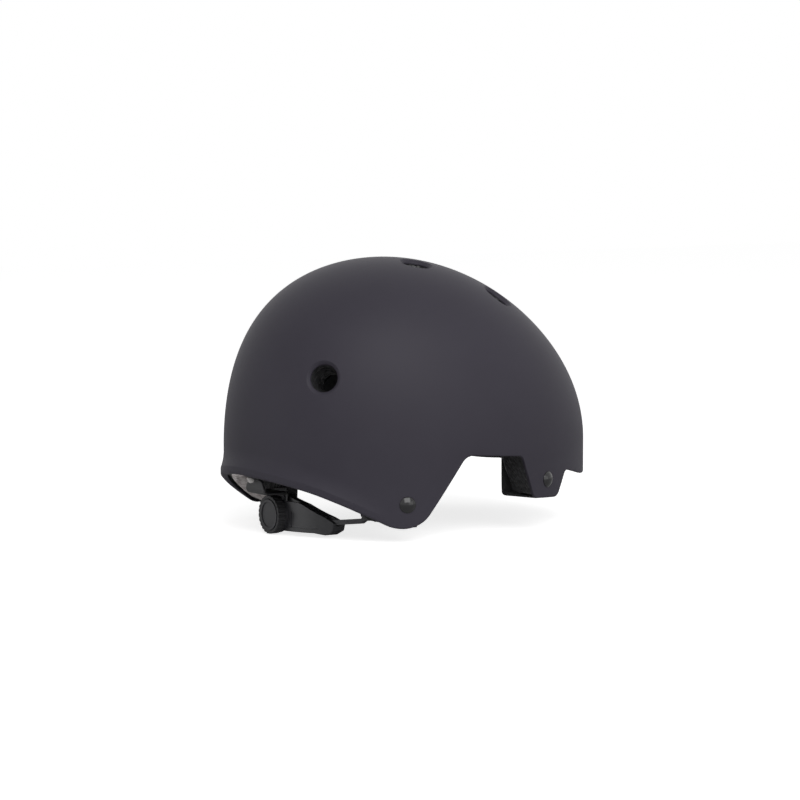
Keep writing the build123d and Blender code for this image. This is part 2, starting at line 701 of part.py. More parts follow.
def disc(radius, start, end):
    """Round slug on the dial's axis between two distances behind mid length."""
    return dial_axis * Pos(0, 0, start) * Cylinder(radius, end - start, align=BOTTOM)


cover_inside = RING_Y + channel_out
base_inside = RING_Y + channel_in - CRADLE_WALL
cover = cover + disc(boss_r, cover_inside, boss_face)
cover = cover - disc(CLICK_R, boss_face - CLICK_DEEP, boss_face + STEP)
notch = disc(CLICK_NOTCH_R, boss_face - CLICK_DEEP, boss_face + STEP)
notches = [Rot(0, 360 / DIAL_GROOVES * i, 0) for i in range(DIAL_GROOVES)]
for turn in notches:
    cover = cover - Pos(0, 0, dial_z) * turn * Pos(CLICK_R, 0, -dial_z) * notch
cover = cover - disc(SHAFT / 2 + SHAFT_GAP, cover_inside - STEP, boss_face + STEP)
peg_plane = Plane(origin=(0, web_face, -PEG_DROP), x_dir=(1, 0, 0), z_dir=(0, 1, 0))
peg_end = HANGER_THICK + 2 * PAD_GAP
peg = Cylinder(PEG_R, peg_end + STEP, align=BOTTOM)
peg = Pos(0, 0, -STEP) * peg + Pos(0, 0, peg_end) * Cylinder(PEG_HEAD_R, PEG_HEAD_THICK, align=BOTTOM)
for side in (1, -1):
    cover = cover + peg_plane * Pos(side * PEG_X, 0, 0) * peg
base = base - disc(STUB_R + SHAFT_GAP, base_inside - 5, base_inside + 5)
save("cradle_base", base)
save("cradle_cover", cover)

# Pinion, its shaft and the square that drives the knob
side_points = [(root_r, half_tooth + TOOTH_FOOT), (pitch_r, half_tooth), (tip_r, half_tooth - ADDENDUM * flank)]
gear_points = []
for i in range(PINION_TEETH):
    middle = pi / 2 + 2 * pi * i / PINION_TEETH
    gear_points += [(radius, middle - half / radius) for radius, half in side_points]
    gear_points += [(radius, middle + half / radius) for radius, half in reversed(side_points)]
gear_outline = Polyline(*[(r * cos(a), dial_z + r * sin(a)) for r, a in gear_points], close=True)
gear_inside = RING_Y + channel_in + 0.1
gear_outside = RING_Y + sqrt(channel_out ** 2 - (tip_r + 0.5) ** 2) - 0.1
gear = through(make_face(gear_outline.edges())) & disc(2 * tip_r, gear_inside, gear_outside)
hub_end = DIAL_FACE_Y - 2.0
square = Box(SQUARE, SQUARE, hub_end - gear_outside - 0.2, align=BOTTOM)
pinion = gear + dial_axis * Pos(0, 0, gear_outside) * square
pinion = pinion + disc(SHAFT / 2, gear_outside, boss_face + 0.1) + disc(STUB_R, base_inside + 0.2, gear_inside)
pinion = pinion - disc(SCREW_R + 0.1, base_inside - 5, DIAL_FACE_Y)
save("pinion", pinion)

# Dial: knob with a grooved grip ring, a click spring behind it, and its screw
knob_r = DIAL_DIAMETER / 2 - GRIP_WALL
knob_back = DIAL_FACE_Y - DIAL_THICK
knob = disc(knob_r, knob_back, DIAL_FACE_Y)
knob = knob - disc(knob_r - DIAL_BORDER, DIAL_FACE_Y - DIAL_DISH, DIAL_FACE_Y + STEP)
well = disc(CLICK_R + 0.4, knob_back - STEP, knob_back + CLICK_THICK + 0.6)
knob = knob - (well - disc(3.6, knob_back - STEP, knob_back + CLICK_THICK + 0.6))
socket_wide = SQUARE + 2 * SQUARE_GAP
square_hole = Box(socket_wide, socket_wide, hub_end - knob_back + STEP, align=BOTTOM)
knob = knob - dial_axis * Pos(0, 0, knob_back - STEP) * square_hole
knob = knob - disc(SCREW_R, knob_back, DIAL_FACE_Y - 1.0)
save("dial_knob", knob)
grip = disc(DIAL_DIAMETER / 2, knob_back, DIAL_FACE_Y - 0.4)
grip = grip - disc(knob_r + 0.05, knob_back - STEP, DIAL_FACE_Y)
grip = fillet(grip.edges().filter_by(GeomType.CIRCLE).sort_by(Axis.Y)[-1:], 0.8)
groove = disc(GROOVE_R, knob_back - STEP, DIAL_FACE_Y + STEP)
for turn in notches:
    grip = grip - Pos(0, 0, dial_z) * turn * Pos(DIAL_DIAMETER / 2 + 0.35, 0, -dial_z) * groove
save("dial_grip", grip)
spring_back = knob_back + 0.2
spring_front = spring_back + CLICK_THICK
arm = disc(CLICK_R - 1.0, spring_back, spring_front) - disc(CLICK_R - 2.0, knob_back, knob_back + 2)
spoke = Pos(0, spring_back + CLICK_THICK / 2, dial_z) * Box(2 * (CLICK_R - 1.2), CLICK_THICK, 2.4)
click = arm + disc(5.2, spring_back, spring_front) + spoke
save("click_spring", click - disc(3.8, knob_back - 1, knob_back + 3))
screw_head = disc(SCREW_HEAD_R, base_inside - 0.05 - SCREW_HEAD_THICK, base_inside - 0.05)
save("dial_screw", disc(SCREW_R, base_inside - 0.2, DIAL_FACE_Y - 1.2) + screw_head)

# Soft pads on the head side of the cradle
pad_area = make_face(Polyline(*CRADLE_PAD_LINE, close=True).edges())
pad_area = fillet(pad_area.vertices(), CRADLE_PAD_ROUND)
pad_back = channel_in - CRADLE_WALL - PAD_GAP
nape_cushion = ring_part(pad_back - CRADLE_PAD, pad_back) & through(pad_area)
save("cradle_pads", nape_cushion, mirrored(nape_cushion))

# Anchors: blocks on the foam with a headed post that carries each band's eye
post_z = -ANCHOR_DROP
for name, inner, side in (("left", layer_in, 1), ("right", layer_out, -1)):
    radius = inner + BAND_THICK / 2
    face_x = sqrt(radius ** 2 - (ANCHOR_Y - RING_Y) ** 2) + ANCHOR_CLEAR
    block = Box(30, ANCHOR_BLOCK, ANCHOR_BLOCK)
    block = Pos(side * (face_x + 15), ANCHOR_Y + 0.5, post_z + 1.5) * block & dome(FOAM_IN + PAD_GAP)
    along = Plane(origin=(side * (face_x + 0.5), ANCHOR_Y, post_z), x_dir=(0, 0, 1), z_dir=(-side, 0, 0))
    post = along * Cylinder(POST / 2, POST_LENGTH + 0.5, align=BOTTOM)
    head = Cylinder(POST_HEAD / 2, POST_HEAD_THICK, align=BOTTOM)
    save(f"band_anchor_{name}", block + post + along * Pos(0, 0, POST_LENGTH + 0.5) * head)

# Hanger: nylon strip from its tongue under the foam down and forward to the cradle's pegs
hang_gap = HANGER_THICK / 2 + PAD_GAP
lie = hang_gap * hypot(1, rim_slope(STUD_Y))
hang_line = FilletPolyline(
    (HANGER_REAR, foam_under(HANGER_REAR) - lie),
    (HANGER_BEND, foam_under(HANGER_BEND) - lie),
    (HANGER_BEND, -HANGER_RUN),
    (web_face + hang_gap, -HANGER_RUN),
    (web_face + hang_gap, -HANGER_FOOT),
    radius=[2.0, 3.0, 1.4],
)
strip = extrude(Plane.YZ * trace(hang_line, line_width=HANGER_THICK), amount=HANGER_WIDTH, both=True)
wide, slim = HANGER_WIDTH / 2, HANGER_TONGUE / 2
half_strip = [(slim, -CROWN_RISE), (slim, 2.0 - HANGER_SHOULDER), (wide, -HANGER_SHOULDER), (wide, -HANGER_FOOT - 1)]
strip_area = make_face(Polyline(*half_strip, *[(-x, z) for x, z in reversed(half_strip)], close=True).edges())
strip_area = fillet(strip_area.vertices(), 1.5)
strip = strip & through(strip_area)
strip = strip - disc(boss_r + 0.5, web_face, DIAL_FACE_Y)
for side in (1, -1):
    strip = strip - peg_plane * Pos(side * PEG_X, 0, 0) * Cylinder(PEG_R + 0.1, 8 * HANGER_THICK)
stud_plane = Plane(
    origin=(0, STUD_Y, foam_under(STUD_Y) - 2 * lie), x_dir=(1, 0, 0), z_dir=(0, rim_slope(STUD_Y), -1)
)
stud = Pos(0, 0, 0.1) * button(STUD_HEAD, STUD_RISE)
stud = stud_plane * (stud + Pos(0, 0, 0.2) * Cylinder(STUD_SHANK / 2, STUD_LENGTH, align=TOP))
stud_hole = stud_plane * Cylinder(STUD_SHANK / 2 + STUD_GAP, 4 * STUD_LENGTH)
save("hanger_strip", strip - stud_hole)
save("hanger_stud", stud)
save("foam_liner", foam - stud_hole)


# Webbing harness, tucked up inside: each leg is held by its rivet, turns under the
# foam and runs up inside to the divider; the chin straps meet at the buckle

def ribbon(route, width=WEB_WIDTH, thick=WEB_THICK, start=0.0, end=1.0, shift=0.0):
    """Flat strap lofted along a route over the inner dome.

    route gives turn, latitude and inset for a share of the way; shift moves the strap
    towards the head.
    """
    sections = []
    for i in range(ROUTE_STEPS + 1):
        share = start + (end - start) * i / ROUTE_STEPS
        turn, lat, inset = route(share)
        here = dome_point(inset + shift, turn, lat)
        turn_on, lat_on, inset_on = route(share + 0.01)
        along = (dome_point(inset_on + shift, turn_on, lat_on) - here).normalized()
        out = dome_normal(turn, lat)
        wide = out.cross(along).normalized() * (width / 2)
        deep = along.cross(wide).normalized() * (thick / 2)
        corners = [here + wide + deep, here - wide + deep, here - wide - deep, here + wide - deep]
        sections.append(Wire(Polyline(*corners, close=True).edges()))
    return Solid.make_loft(sections)


def route_frame(route, share, shift=0.0):
    """Plane across a route: x across the strap, y out of the strap, z along it."""
    turn, lat, inset = route(share)
    here = dome_point(inset + shift, turn, lat)
    turn_on, lat_on, inset_on = route(share + 0.01)
    along = (dome_point(inset_on + shift, turn_on, lat_on) - here).normalized()
    wide = dome_normal(turn, lat).cross(along).normalized()
    return Plane(origin=here, x_dir=wide, z_dir=along)


def leg(place, rivet_drop, foam_low, depth, top_drop, end_inset):
    """Strap leg: a hook drawn in the rivet's plane, then a ribbon up to the divider."""
    behind = SHELL_WALL + WEB_GAP + WEB_THICK / 2
    bottom = rivet_drop - foam_low - WEB_GAP - WEB_THICK / 2
    top = rivet_drop - top_drop
    corners = [(STRAP_END, -behind), (bottom, -behind), (bottom, -depth), (top, -depth)]
    line = FilletPolyline(*corners, radius=[1.5, 3.0])
    hook = place * extrude(Plane.XZ * trace(line, line_width=WEB_THICK), amount=WEB_WIDTH / 2, both=True)
    hook = hook - place * rivet_hole
    foot = place.from_local_coords(Vector(top, 0, -depth))
    turn_from = acos(foot.Y / (SHELL_LENGTH / 2 - depth))
    lat_from = asin((CROWN_RISE - top_drop - 2.5) / (CROWN_RISE - depth))

    def route(share):
        ease = share * share * (3 - 2 * share)
        return (
            turn_from + (radians(DIVIDER_TURN) - turn_from) * ease,
            lat_from + (radians(DIVIDER_LAT) - lat_from) * share,
            depth + (end_inset - depth) * sin(min(1.0, 2.5 * share) * pi / 2),
        )

    return hook + ribbon(route)


def chin_route(share):
    return (
        radians(DIVIDER_TURN + 2 * share),
        radians(DIVIDER_LAT + (BUCKLE_LAT - DIVIDER_LAT) * share),
        STRAP_INSET + (BUCKLE_INSET - STRAP_INSET) * share,
    )


def chin_point(share):
    """Middle of the chin strap at a share of its way."""
    turn, lat, inset = chin_route(share)
    return dome_point(inset, turn, lat)


rear_angle = atan(rim_slope(LOBE_FOOT[0]))
front_angle = atan2(LOBE_FOOT[1] - ARCH_REAR[1], LOBE_FOOT[0] - ARCH_REAR[0])
cut_off = tan((rear_angle + front_angle) / 2) * sin(rear_angle) + cos(rear_angle) - 1
lobe_low = LOBE_FOOT[1] - LOBE_FOOT[2] * cut_off
tab_low = TAB_FRONT[1] - FOAM_RECESS
front_leg = leg(rivet_planes[2], FRONT_RIVET[1], tab_low, STRAP_INSET, LEG_FRONT_TOP, STRAP_INSET)
rear_leg = leg(
    rivet_planes[0], REAR_RIVET[1], lobe_low - FOAM_RECESS,
    FOAM_IN + STRAP_OFF, LEG_REAR_TOP, STRAP_INSET + LAYER,
)
bar = dome_point(BUCKLE_INSET, pi / 2, radians(BUCKLE_LAT))
bar_middle = bar.X + BUCKLE_BAR_OUT - BUCKLE_BAR / 2
eye_wide = BUCKLE_BAR + 2 * WEB_GAP
eye_tall = BUCKLE_BAR_THICK + 2 * WEB_GAP
sewn = Box(eye_wide + 2 * WEB_THICK, WEB_WIDTH, eye_tall + 2 * WEB_THICK)
sewn = fillet(sewn.edges().filter_by(Axis.Y), WEB_THICK)
sewn = Pos(bar_middle, bar.Y, bar.Z) * (sewn - Box(eye_wide, 2 * WEB_WIDTH, eye_tall))
chin_end = 1.0
while chin_point(chin_end).X < bar_middle + eye_wide / 2 + WEB_THICK / 2:
    chin_end -= 0.002
chin = ribbon(chin_route, start=0.012, end=chin_end) + sewn
for name, piece in (("front_strap", front_leg), ("rear_strap", rear_leg), ("chin_strap", chin)):
    save(f"{name}_left", piece)
    save(f"{name}_right", mirrored(piece))

sleeve_wide = WEB_WIDTH + 2 * DIVIDER_SIDE
sleeve_deep = WEB_THICK + LAYER + 2 * DIVIDER_DEEP
sleeve = Box(sleeve_wide + 2 * DIVIDER_WALL, sleeve_deep + 2 * DIVIDER_WALL, DIVIDER_LENGTH)
sleeve = route_frame(chin_route, 0.0, LAYER / 2) * (sleeve - Box(sleeve_wide, sleeve_deep, 2 * DIVIDER_LENGTH))
save("strap_divider_left", sleeve)
save("strap_divider_right", mirrored(sleeve))
hole_wide, hole_deep = WEB_WIDTH + 2 * KEEPER_GAP, WEB_THICK + 2 * KEEPER_GAP
keeper = Box(hole_wide + 2 * KEEPER_WALL, hole_deep + 2 * KEEPER_WALL, KEEPER_LENGTH)
keeper = route_frame(chin_route, 0.5) * (keeper - Box(hole_wide, hole_deep, 2 * KEEPER_LENGTH))
save("strap_keeper", mirrored(keeper))
chin_pad = ribbon(
    chin_route, width=CHIN_PAD_WIDTH, thick=CHIN_PAD_THICK, start=0.16, end=0.72,
    shift=(WEB_THICK + CHIN_PAD_THICK) / 2 + PAD_GAP,
)
save("chin_pad", chin_pad)


def buckle_box(x0, x1, wide, thick):
    return Pos((x0 + x1) / 2, 0, 0) * Box(x1 - x0, wide, thick)


# Buckle: hollow socket on the left, pronged clip on the right
bar_x = bar.X
body_end = bar_x - 2.0
inner_w = BUCKLE_WIDTH - 2 * BUCKLE_WALL
inner_t = BUCKLE_THICK - 2 * BUCKLE_WALL
socket = buckle_box(BUCKLE_PART, body_end, BUCKLE_WIDTH, BUCKLE_THICK)
socket = fillet(socket.edges().filter_by(Axis.X), BUCKLE_ROUND)
socket = socket - buckle_box(-1, body_end - 3.0, inner_w, inner_t)
socket = socket - buckle_box(*WINDOW, 2 * BUCKLE_WIDTH, inner_t)
loop = buckle_box(body_end, bar_x + BUCKLE_BAR_OUT, BUCKLE_WIDTH, BUCKLE_BAR_THICK)
loop = loop - buckle_box(body_end, bar_x + BUCKLE_BAR_OUT - BUCKLE_BAR, WEB_WIDTH + 1.0, 9)
clip = buckle_box(-body_end, -BUCKLE_PART, BUCKLE_WIDTH, BUCKLE_THICK - 1.0)
clip = fillet(clip.edges().filter_by(Axis.X), BUCKLE_ROUND)
clip = clip - buckle_box(-body_end + 4.0, -4.0, WEB_WIDTH, 30)
prong_thick = inner_t - 2 * CLIP_GAP
clip = clip + buckle_box(-2, PRONG_REACH - 4.0, TONGUE, prong_thick)
for side in (1, -1):
    prong = buckle_box(-2, PRONG_REACH, PRONG, prong_thick)
    clip = clip + Pos(0, side * (inner_w / 2 - CLIP_GAP - PRONG / 2), 0) * prong
place_buckle = Pos(0, bar.Y, bar.Z)
save("buckle_socket", place_buckle * (socket + loop))
save("buckle_clip", place_buckle * (clip + mirrored(loop)))
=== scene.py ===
import bmesh
import bpy
import numpy as np
from math import pi, sin, cos, tan, radians, hypot
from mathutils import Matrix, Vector


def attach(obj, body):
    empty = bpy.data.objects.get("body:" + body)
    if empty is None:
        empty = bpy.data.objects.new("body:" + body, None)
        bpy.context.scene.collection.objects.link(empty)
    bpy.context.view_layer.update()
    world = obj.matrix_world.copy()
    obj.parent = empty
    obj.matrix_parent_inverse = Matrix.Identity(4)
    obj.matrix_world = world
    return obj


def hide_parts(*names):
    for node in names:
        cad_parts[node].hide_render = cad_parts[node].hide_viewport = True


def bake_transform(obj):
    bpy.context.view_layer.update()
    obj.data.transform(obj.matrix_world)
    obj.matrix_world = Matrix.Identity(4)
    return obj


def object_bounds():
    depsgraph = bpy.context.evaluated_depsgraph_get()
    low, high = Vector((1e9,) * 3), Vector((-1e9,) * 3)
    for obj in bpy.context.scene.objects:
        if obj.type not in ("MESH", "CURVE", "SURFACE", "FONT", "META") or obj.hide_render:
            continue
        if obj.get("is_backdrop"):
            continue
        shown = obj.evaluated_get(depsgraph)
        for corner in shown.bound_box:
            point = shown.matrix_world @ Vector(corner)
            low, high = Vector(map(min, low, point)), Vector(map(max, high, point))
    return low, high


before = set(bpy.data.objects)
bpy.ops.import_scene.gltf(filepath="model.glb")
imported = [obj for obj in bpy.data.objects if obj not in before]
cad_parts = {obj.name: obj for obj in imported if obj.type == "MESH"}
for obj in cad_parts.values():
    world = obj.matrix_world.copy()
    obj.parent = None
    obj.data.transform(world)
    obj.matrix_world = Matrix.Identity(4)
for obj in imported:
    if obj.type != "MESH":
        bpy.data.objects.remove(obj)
cad_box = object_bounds()


# Camera: long lens from behind the wearer's right, a little above the rim
def aim(name, spot, target, kind):
    """A camera or lamp at a spot, looking at a target."""
    thing = bpy.data.objects.new(name, kind)
    bpy.context.scene.collection.objects.link(thing)
    thing.location = spot
    thing.rotation_euler = (Vector(target) - Vector(spot)).to_track_quat("-Z", "Y").to_euler()
    return thing


AZIMUTH, ELEVATION = radians(236.0), radians(3.0)
FOCAL, SENSOR, DISTANCE = 159.2, 36.0, 2.5
AIM_LEFT, AIM_DOWN = 0.0014575, 0.040716
back = Vector((sin(AZIMUTH) * cos(ELEVATION), -cos(AZIMUTH) * cos(ELEVATION), sin(ELEVATION)))
right = Vector((cos(AZIMUTH), sin(AZIMUTH), 0.0))
above = back.cross(right)
apex = Vector((0.0, -0.00105, 0.18925))
lens = bpy.data.cameras.new("camera")
lens.lens = FOCAL
lens.sensor_width = SENSOR
spot = apex + DISTANCE * back
target = spot - back - AIM_LEFT * right - AIM_DOWN * above
bpy.context.scene.camera = aim("camera", spot, target, lens)


# Light: soft boxes, and a dim sky that the camera, gloss and clear pieces see as white
SKY_DIM, SKY_SEEN = 0.24, 1.0
HELMET_MIDDLE = (0.0, 0.0, 0.08)


def soft_box(name, spot, size, power):
    """Rectangular lamp aimed at the middle of the helmet."""
    lamp = bpy.data.lights.new(name, "AREA")
    lamp.shape = "RECTANGLE"
    lamp.size, lamp.size_y = size
    lamp.energy = power
    aim(name, spot, HELMET_MIDDLE, lamp)


soft_box("key", (-1.15, 0.35, 1.05), (1.5, 1.1), 17.0)
soft_box("fill", (-1.7, -0.45, 0.35), (1.3, 0.9), 3.0)
soft_box("nape_light", (0.5, 1.6, 0.032), (0.8, 0.06), 2.2)
world = bpy.data.worlds.new("studio")
bpy.context.scene.world = world
world.use_nodes = True
sky = world.node_tree
backdrop = sky.nodes["Background"]
rays = sky.nodes.new("ShaderNodeLightPath")
seen, through = sky.nodes.new("ShaderNodeMath"), sky.nodes.new("ShaderNodeMath")
seen.operation = through.operation = "MAXIMUM"
sky.links.new(rays.outputs["Is Camera Ray"], seen.inputs[0])
sky.links.new(rays.outputs["Is Glossy Ray"], seen.inputs[1])
sky.links.new(seen.outputs[0], through.inputs[0])
sky.links.new(rays.outputs["Is Transmission Ray"], through.inputs[1])
shown = sky.nodes.new("ShaderNodeMapRange")
sky.links.new(through.outputs[0], shown.inputs["Value"])
shown.inputs["To Min"].default_value = SKY_DIM
shown.inputs["To Max"].default_value = SKY_SEEN
sky.links.new(shown.outputs["Result"], backdrop.inputs["Strength"])
backdrop.inputs["Color"].default_value = (1.0, 1.0, 1.0, 1.0)
bpy.context.scene.view_settings.view_transform = "Standard"


class Value:
    """An output of a material's nodes. Arithmetic on it adds maths nodes."""

    def __init__(self, look, socket):
        self.look, self.socket = look, socket

    def maths(self, operation, *others):
        """This value first, then the others, through one maths node."""
        node = self.look.tree.nodes.new("ShaderNodeMath")
        node.operation = operation
        for slot, value in zip(node.inputs, (self, *others)):
            self.look.feed(slot, value)
        return Value(self.look, node.outputs[0])

    def __add__(self, other):
        return self.maths("ADD", other)

    __radd__ = __add__

    def __sub__(self, other):
        return self.maths("SUBTRACT", other)

    def __rsub__(self, other):
        node = self.look.tree.nodes.new("ShaderNodeMath")
        node.operation = "SUBTRACT"
        self.look.feed(node.inputs[0], other)
        self.look.feed(node.inputs[1], self)
        return Value(self.look, node.outputs[0])

    def __mul__(self, other):
        return self.maths("MULTIPLY", other)

    __rmul__ = __mul__

    def step(self, low, high):
        """0 at low to 1 at high, smooth between."""
        node = self.look.tree.nodes.new("ShaderNodeMapRange")
        node.interpolation_type = "SMOOTHSTEP"
        self.look.feed(node.inputs["Value"], self)
        node.inputs["From Min"].default_value = low
        node.inputs["From Max"].default_value = high
        return Value(self.look, node.outputs["Result"])

    def part(self, name):
        """One of the three parts X, Y and Z."""
        node = self.look.tree.nodes.new("ShaderNodeSeparateXYZ")
        self.look.feed(node.inputs[0], self)
        return Value(self.look, node.outputs[name])


class Look:
    """A material built on one Principled shader."""

    def __init__(self, name, **sockets):
        self.material = bpy.data.materials.new(name)
        self.material.use_nodes = True
        self.tree = self.material.node_tree
        self.shader = self.tree.nodes["Principled BSDF"]
        self.set(**sockets)

    def feed(self, slot, value):
        """Link a value to an input, or set it to a number or a colour."""
        if isinstance(value, Value):
            self.tree.links.new(value.socket, slot)
        elif isinstance(value, (tuple, list)) and len(slot.default_value) == 4:
            slot.default_value = (*value, 1.0)
        else:
            slot.default_value = value

    def set(self, **sockets):
        """Feed inputs of the shader, named with underlines for spaces."""
        for name, value in sockets.items():
            self.feed(self.shader.inputs[name.replace("_", " ")], value)

    def node(self, kind, output=0, **inputs):
        """Add a node, feed its inputs and return one output."""
        node = self.tree.nodes.new("ShaderNode" + kind)
        for name, value in inputs.items():
            self.feed(node.inputs[name.replace("_", " ")], value)
        return Value(self, node.outputs[output])

    def place(self, kind="Object"):
        """Texture coordinates, in metres."""
        return self.node("TexCoord", kind)

    def noise(self, scale, detail, rough):
        """Noise from 0 to 1 over the piece, scale to the metre."""
        where = self.place()
        return self.node("TexNoise", "Fac", Vector=where, Scale=scale, Detail=detail, Roughness=rough)

    def colour(self, share, dark, light):
        """Colour between two by a share."""
        node = self.tree.nodes.new("ShaderNodeMix")
        node.data_type = "RGBA"
        self.feed(node.inputs[0], share)
        self.feed(node.inputs[6], dark)
        self.feed(node.inputs[7], light)
        return Value(self, node.outputs[2])

    def bump(self, height, depth, strength=1.0):
        """Bump of a height from 0 to 1, depth metres deep."""
        self.set(Normal=self.node("Bump", "Normal", Height=height, Distance=depth, Strength=strength))


# Shell: matte moulded plastic with a very fine grain and faint handling marks
shell_look = Look("shell_plastic")
grain = shell_look.noise(2600.0, 3.0, 0.6)
clouds = shell_look.noise(9.0, 3.0, 0.55)
shell_look.set(
    Base_Color=shell_look.colour(clouds.step(0.3, 0.7), (0.029, 0.026, 0.036), (0.034, 0.031, 0.042)),
    Roughness=0.50 + 0.08 * clouds + 0.04 * grain,
    Specular_IOR_Level=0.2,
)
shell_look.bump(grain, 0.00006, 0.5)

# Foam: fused beads, each a shallow bump with its own shade
BEADS_PER_METRE = 330.0
foam_look = Look("eps_foam")
beads = foam_look.node("TexVoronoi", "Distance", Scale=BEADS_PER_METRE, Vector=foam_look.place())
tint = foam_look.node("TexVoronoi", "Color", Scale=BEADS_PER_METRE, Vector=foam_look.place()).part("X")
foam_look.set(
    Base_Color=foam_look.colour(tint, (0.012, 0.012, 0.013), (0.03, 0.03, 0.032)),
    Roughness=0.62 - 0.2 * tint,
    Specular_IOR_Level=0.4,
)
foam_look.bump(1.0 - beads.step(0.0, 0.75), 0.0009, 0.9)

# Enamelled metal of the rivets
rivet_look = Look("rivet_metal", Specular_IOR_Level=0.4, Coat_Weight=0.2, Coat_Roughness=0.08)
scuff = rivet_look.noise(700.0, 4.0, 0.7)
rivet_look.set(
    Base_Color=rivet_look.colour(scuff.step(0.6, 0.8), (0.008, 0.008, 0.009), (0.02, 0.02, 0.021)),
    Roughness=0.14 + 0.2 * scuff.step(0.5, 0.9),
)
rivet_look.bump(scuff, 0.00005, 0.3)


def plain(name, colour, rough, depth=0.00008, scale=1800.0, spread=0.3):
    """Moulded plastic: a colour with a little spread, a fine grain and soft clouds."""
    look = Look(name, Specular_IOR_Level=0.5)
    fine = look.noise(scale, 3.0, 0.6)
    soft = look.noise(60.0, 2.0, 0.5)
    darker = tuple(c * (1 - spread) for c in colour)
    look.set(
        Base_Color=look.colour(soft.step(0.3, 0.7), darker, colour),
        Roughness=rough + 0.12 * soft - 0.06,
    )
    look.bump(fine, depth, 0.5)
    return look


washer_look = plain("washer_plastic", (0.02, 0.02, 0.02), 0.5)
fit_look = plain("fit_plastic", (0.026, 0.026, 0.030), 0.40)
dial_look = plain("dial_plastic", (0.022, 0.022, 0.026), 0.38)
rubber_look = plain("dial_rubber", (0.016, 0.016, 0.018), 0.6, 0.0001, 2400.0)
gear_look = plain("gear_plastic", (0.03, 0.03, 0.03), 0.3)
band_look = plain("band_nylon", (0.055, 0.055, 0.062), 0.36)
hanger_look = plain("hanger_nylon", (0.02, 0.02, 0.022), 0.42)
buckle_look = plain("buckle_plastic", (0.02, 0.02, 0.021), 0.3)
keeper_look = plain("keeper_elastic", (0.02, 0.02, 0.02), 0.7, 0.0002, 1500.0)
stud_look = plain("stud_plastic", (0.55, 0.53, 0.52), 0.4)
steel_look = plain("screw_steel", (0.5, 0.5, 0.52), 0.3)
steel_look.set(Metallic=1.0)


def woven(name, dark, light, pitch, depth, rough, sheen):
    """Cloth whose threads follow the piece's own UV, in metres."""
    look = Look(name, Roughness=rough, Sheen_Weight=sheen, Sheen_Roughness=0.4, Specular_IOR_Level=0.25)
    uv = look.place("UV")
    u, v = uv.part("X"), uv.part("Y")
    warp = (u * (2 * pi / pitch)).maths("SINE")
    weft = (v * (2 * pi / pitch)).maths("SINE")
    knots = 0.5 + 0.5 * warp * weft
    fibre = look.noise(3000.0, 2.0, 0.6)
    mottled = look.noise(120.0, 3.0, 0.6)
    look.set(Base_Color=look.colour(knots * 0.6 + mottled * 0.4, dark, light))
    look.bump(knots * 0.8 + fibre * 0.2, depth, 0.9)
    return look


pad_look = woven("pad_fabric", (0.035, 0.035, 0.04), (0.12, 0.12, 0.13), 0.0011, 0.0003, 0.9, 0.3)
strap_look = woven(
    "webbing", (0.008, 0.008, 0.009), (0.035, 0.035, 0.038), 0.0013, 0.00035, 0.75, 0.15,
)

# Label: pale film, wrinkled where it was pressed on, with painted shade darkening the troughs of the
# creases
label_look = Look("label_film", Roughness=0.4)
crease_height_and_shade = label_look.noise(160.0, 4.0, 0.7)
# Base colour goes dark where the crease noise is low: painted shade in the creases, not the film's own
# colour
label_look.set(Base_Color=label_look.colour(crease_height_and_shade.step(0.3, 0.7), (0.42, 0.36, 0.36), (0.93, 0.88, 0.86)))
label_look.bump(crease_height_and_shade, 0.0009, 1.0)

# Looks of the pieces that come from the solids
for node, look in {
    "foam_liner": foam_look, "strap_rivets": rivet_look, "rivet_washers": washer_look,
    "inner_label": label_look, "fit_band_left": band_look, "fit_band_right": band_look,
    "cradle_base": fit_look, "cradle_cover": fit_look, "pinion": gear_look,
    "dial_knob": dial_look, "dial_grip": rubber_look, "click_spring": gear_look,
    "dial_screw": steel_look, "band_anchor_left": fit_look, "band_anchor_right": fit_look,
    "hanger_strip": hanger_look, "hanger_stud": stud_look, "strap_divider_left": buckle_look,
    "strap_divider_right": buckle_look, "strap_keeper": keeper_look, "buckle_socket": buckle_look,
    "buckle_clip": buckle_look,
}.items():
    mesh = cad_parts[node].data
    mesh.materials.clear()
    mesh.materials.append(look.material)

# The dome's own formula, as the solids have it, in millimetres from the crown
LENGTH, WIDTH, RISE = 271.0, 215.4, 131.3
LEAN, LEAN_MID = 19.0, 9.7
FULL_SIDE, FULL_FRONT, FULL_REAR = 0.038, -0.0056, 0.0035
WALL = 3.0
ORIGIN = np.array((0.0, -1.05, 189.25))


def fullness(turn, up):
    """Share by which the dome stands out from a plain ellipse."""
    ends = (FULL_FRONT + FULL_REAR) / 2 + (FULL_REAR - FULL_FRONT) / 2 * np.cos(turn)
    return 1 + (FULL_SIDE * np.sin(turn) ** 2 + ends * np.cos(turn) ** 2) * np.sin(2 * up) ** 2


def lean_at(up):
    """How far the dome leans to the rear at a latitude."""
    return LEAN * np.sin(up) ** 2 + LEAN_MID * (np.sin(up) * np.cos(up)) ** 2


def dome(inset, turn, lat):
    """Points of the dome set in by inset, at turns from the rear and latitudes."""
    turn, lat, inset = np.broadcast_arrays(turn, lat, inset)
    up = np.maximum(lat, 0.0)
    swell = fullness(turn, up)
    rise = np.where(lat > 0, np.sin(up) * swell, lat)
    return np.stack([
        (WIDTH / 2 - inset) * np.cos(up) * swell * np.sin(turn),
        (LENGTH / 2 - inset) * np.cos(up) * swell * np.cos(turn) + lean_at(up),
        -RISE + (RISE - inset) * rise,
    ], axis=-1)


def outward(turn, lat):
    """Outward normals of the dome, from short steps along it."""
    here = dome(0.0, turn, lat)
    step = 0.002
    away = np.cross(dome(0.0, turn, lat + step) - here, dome(0.0, turn + step, lat) - here)
    return away / np.linalg.norm(away, axis=-1, keepdims=True)


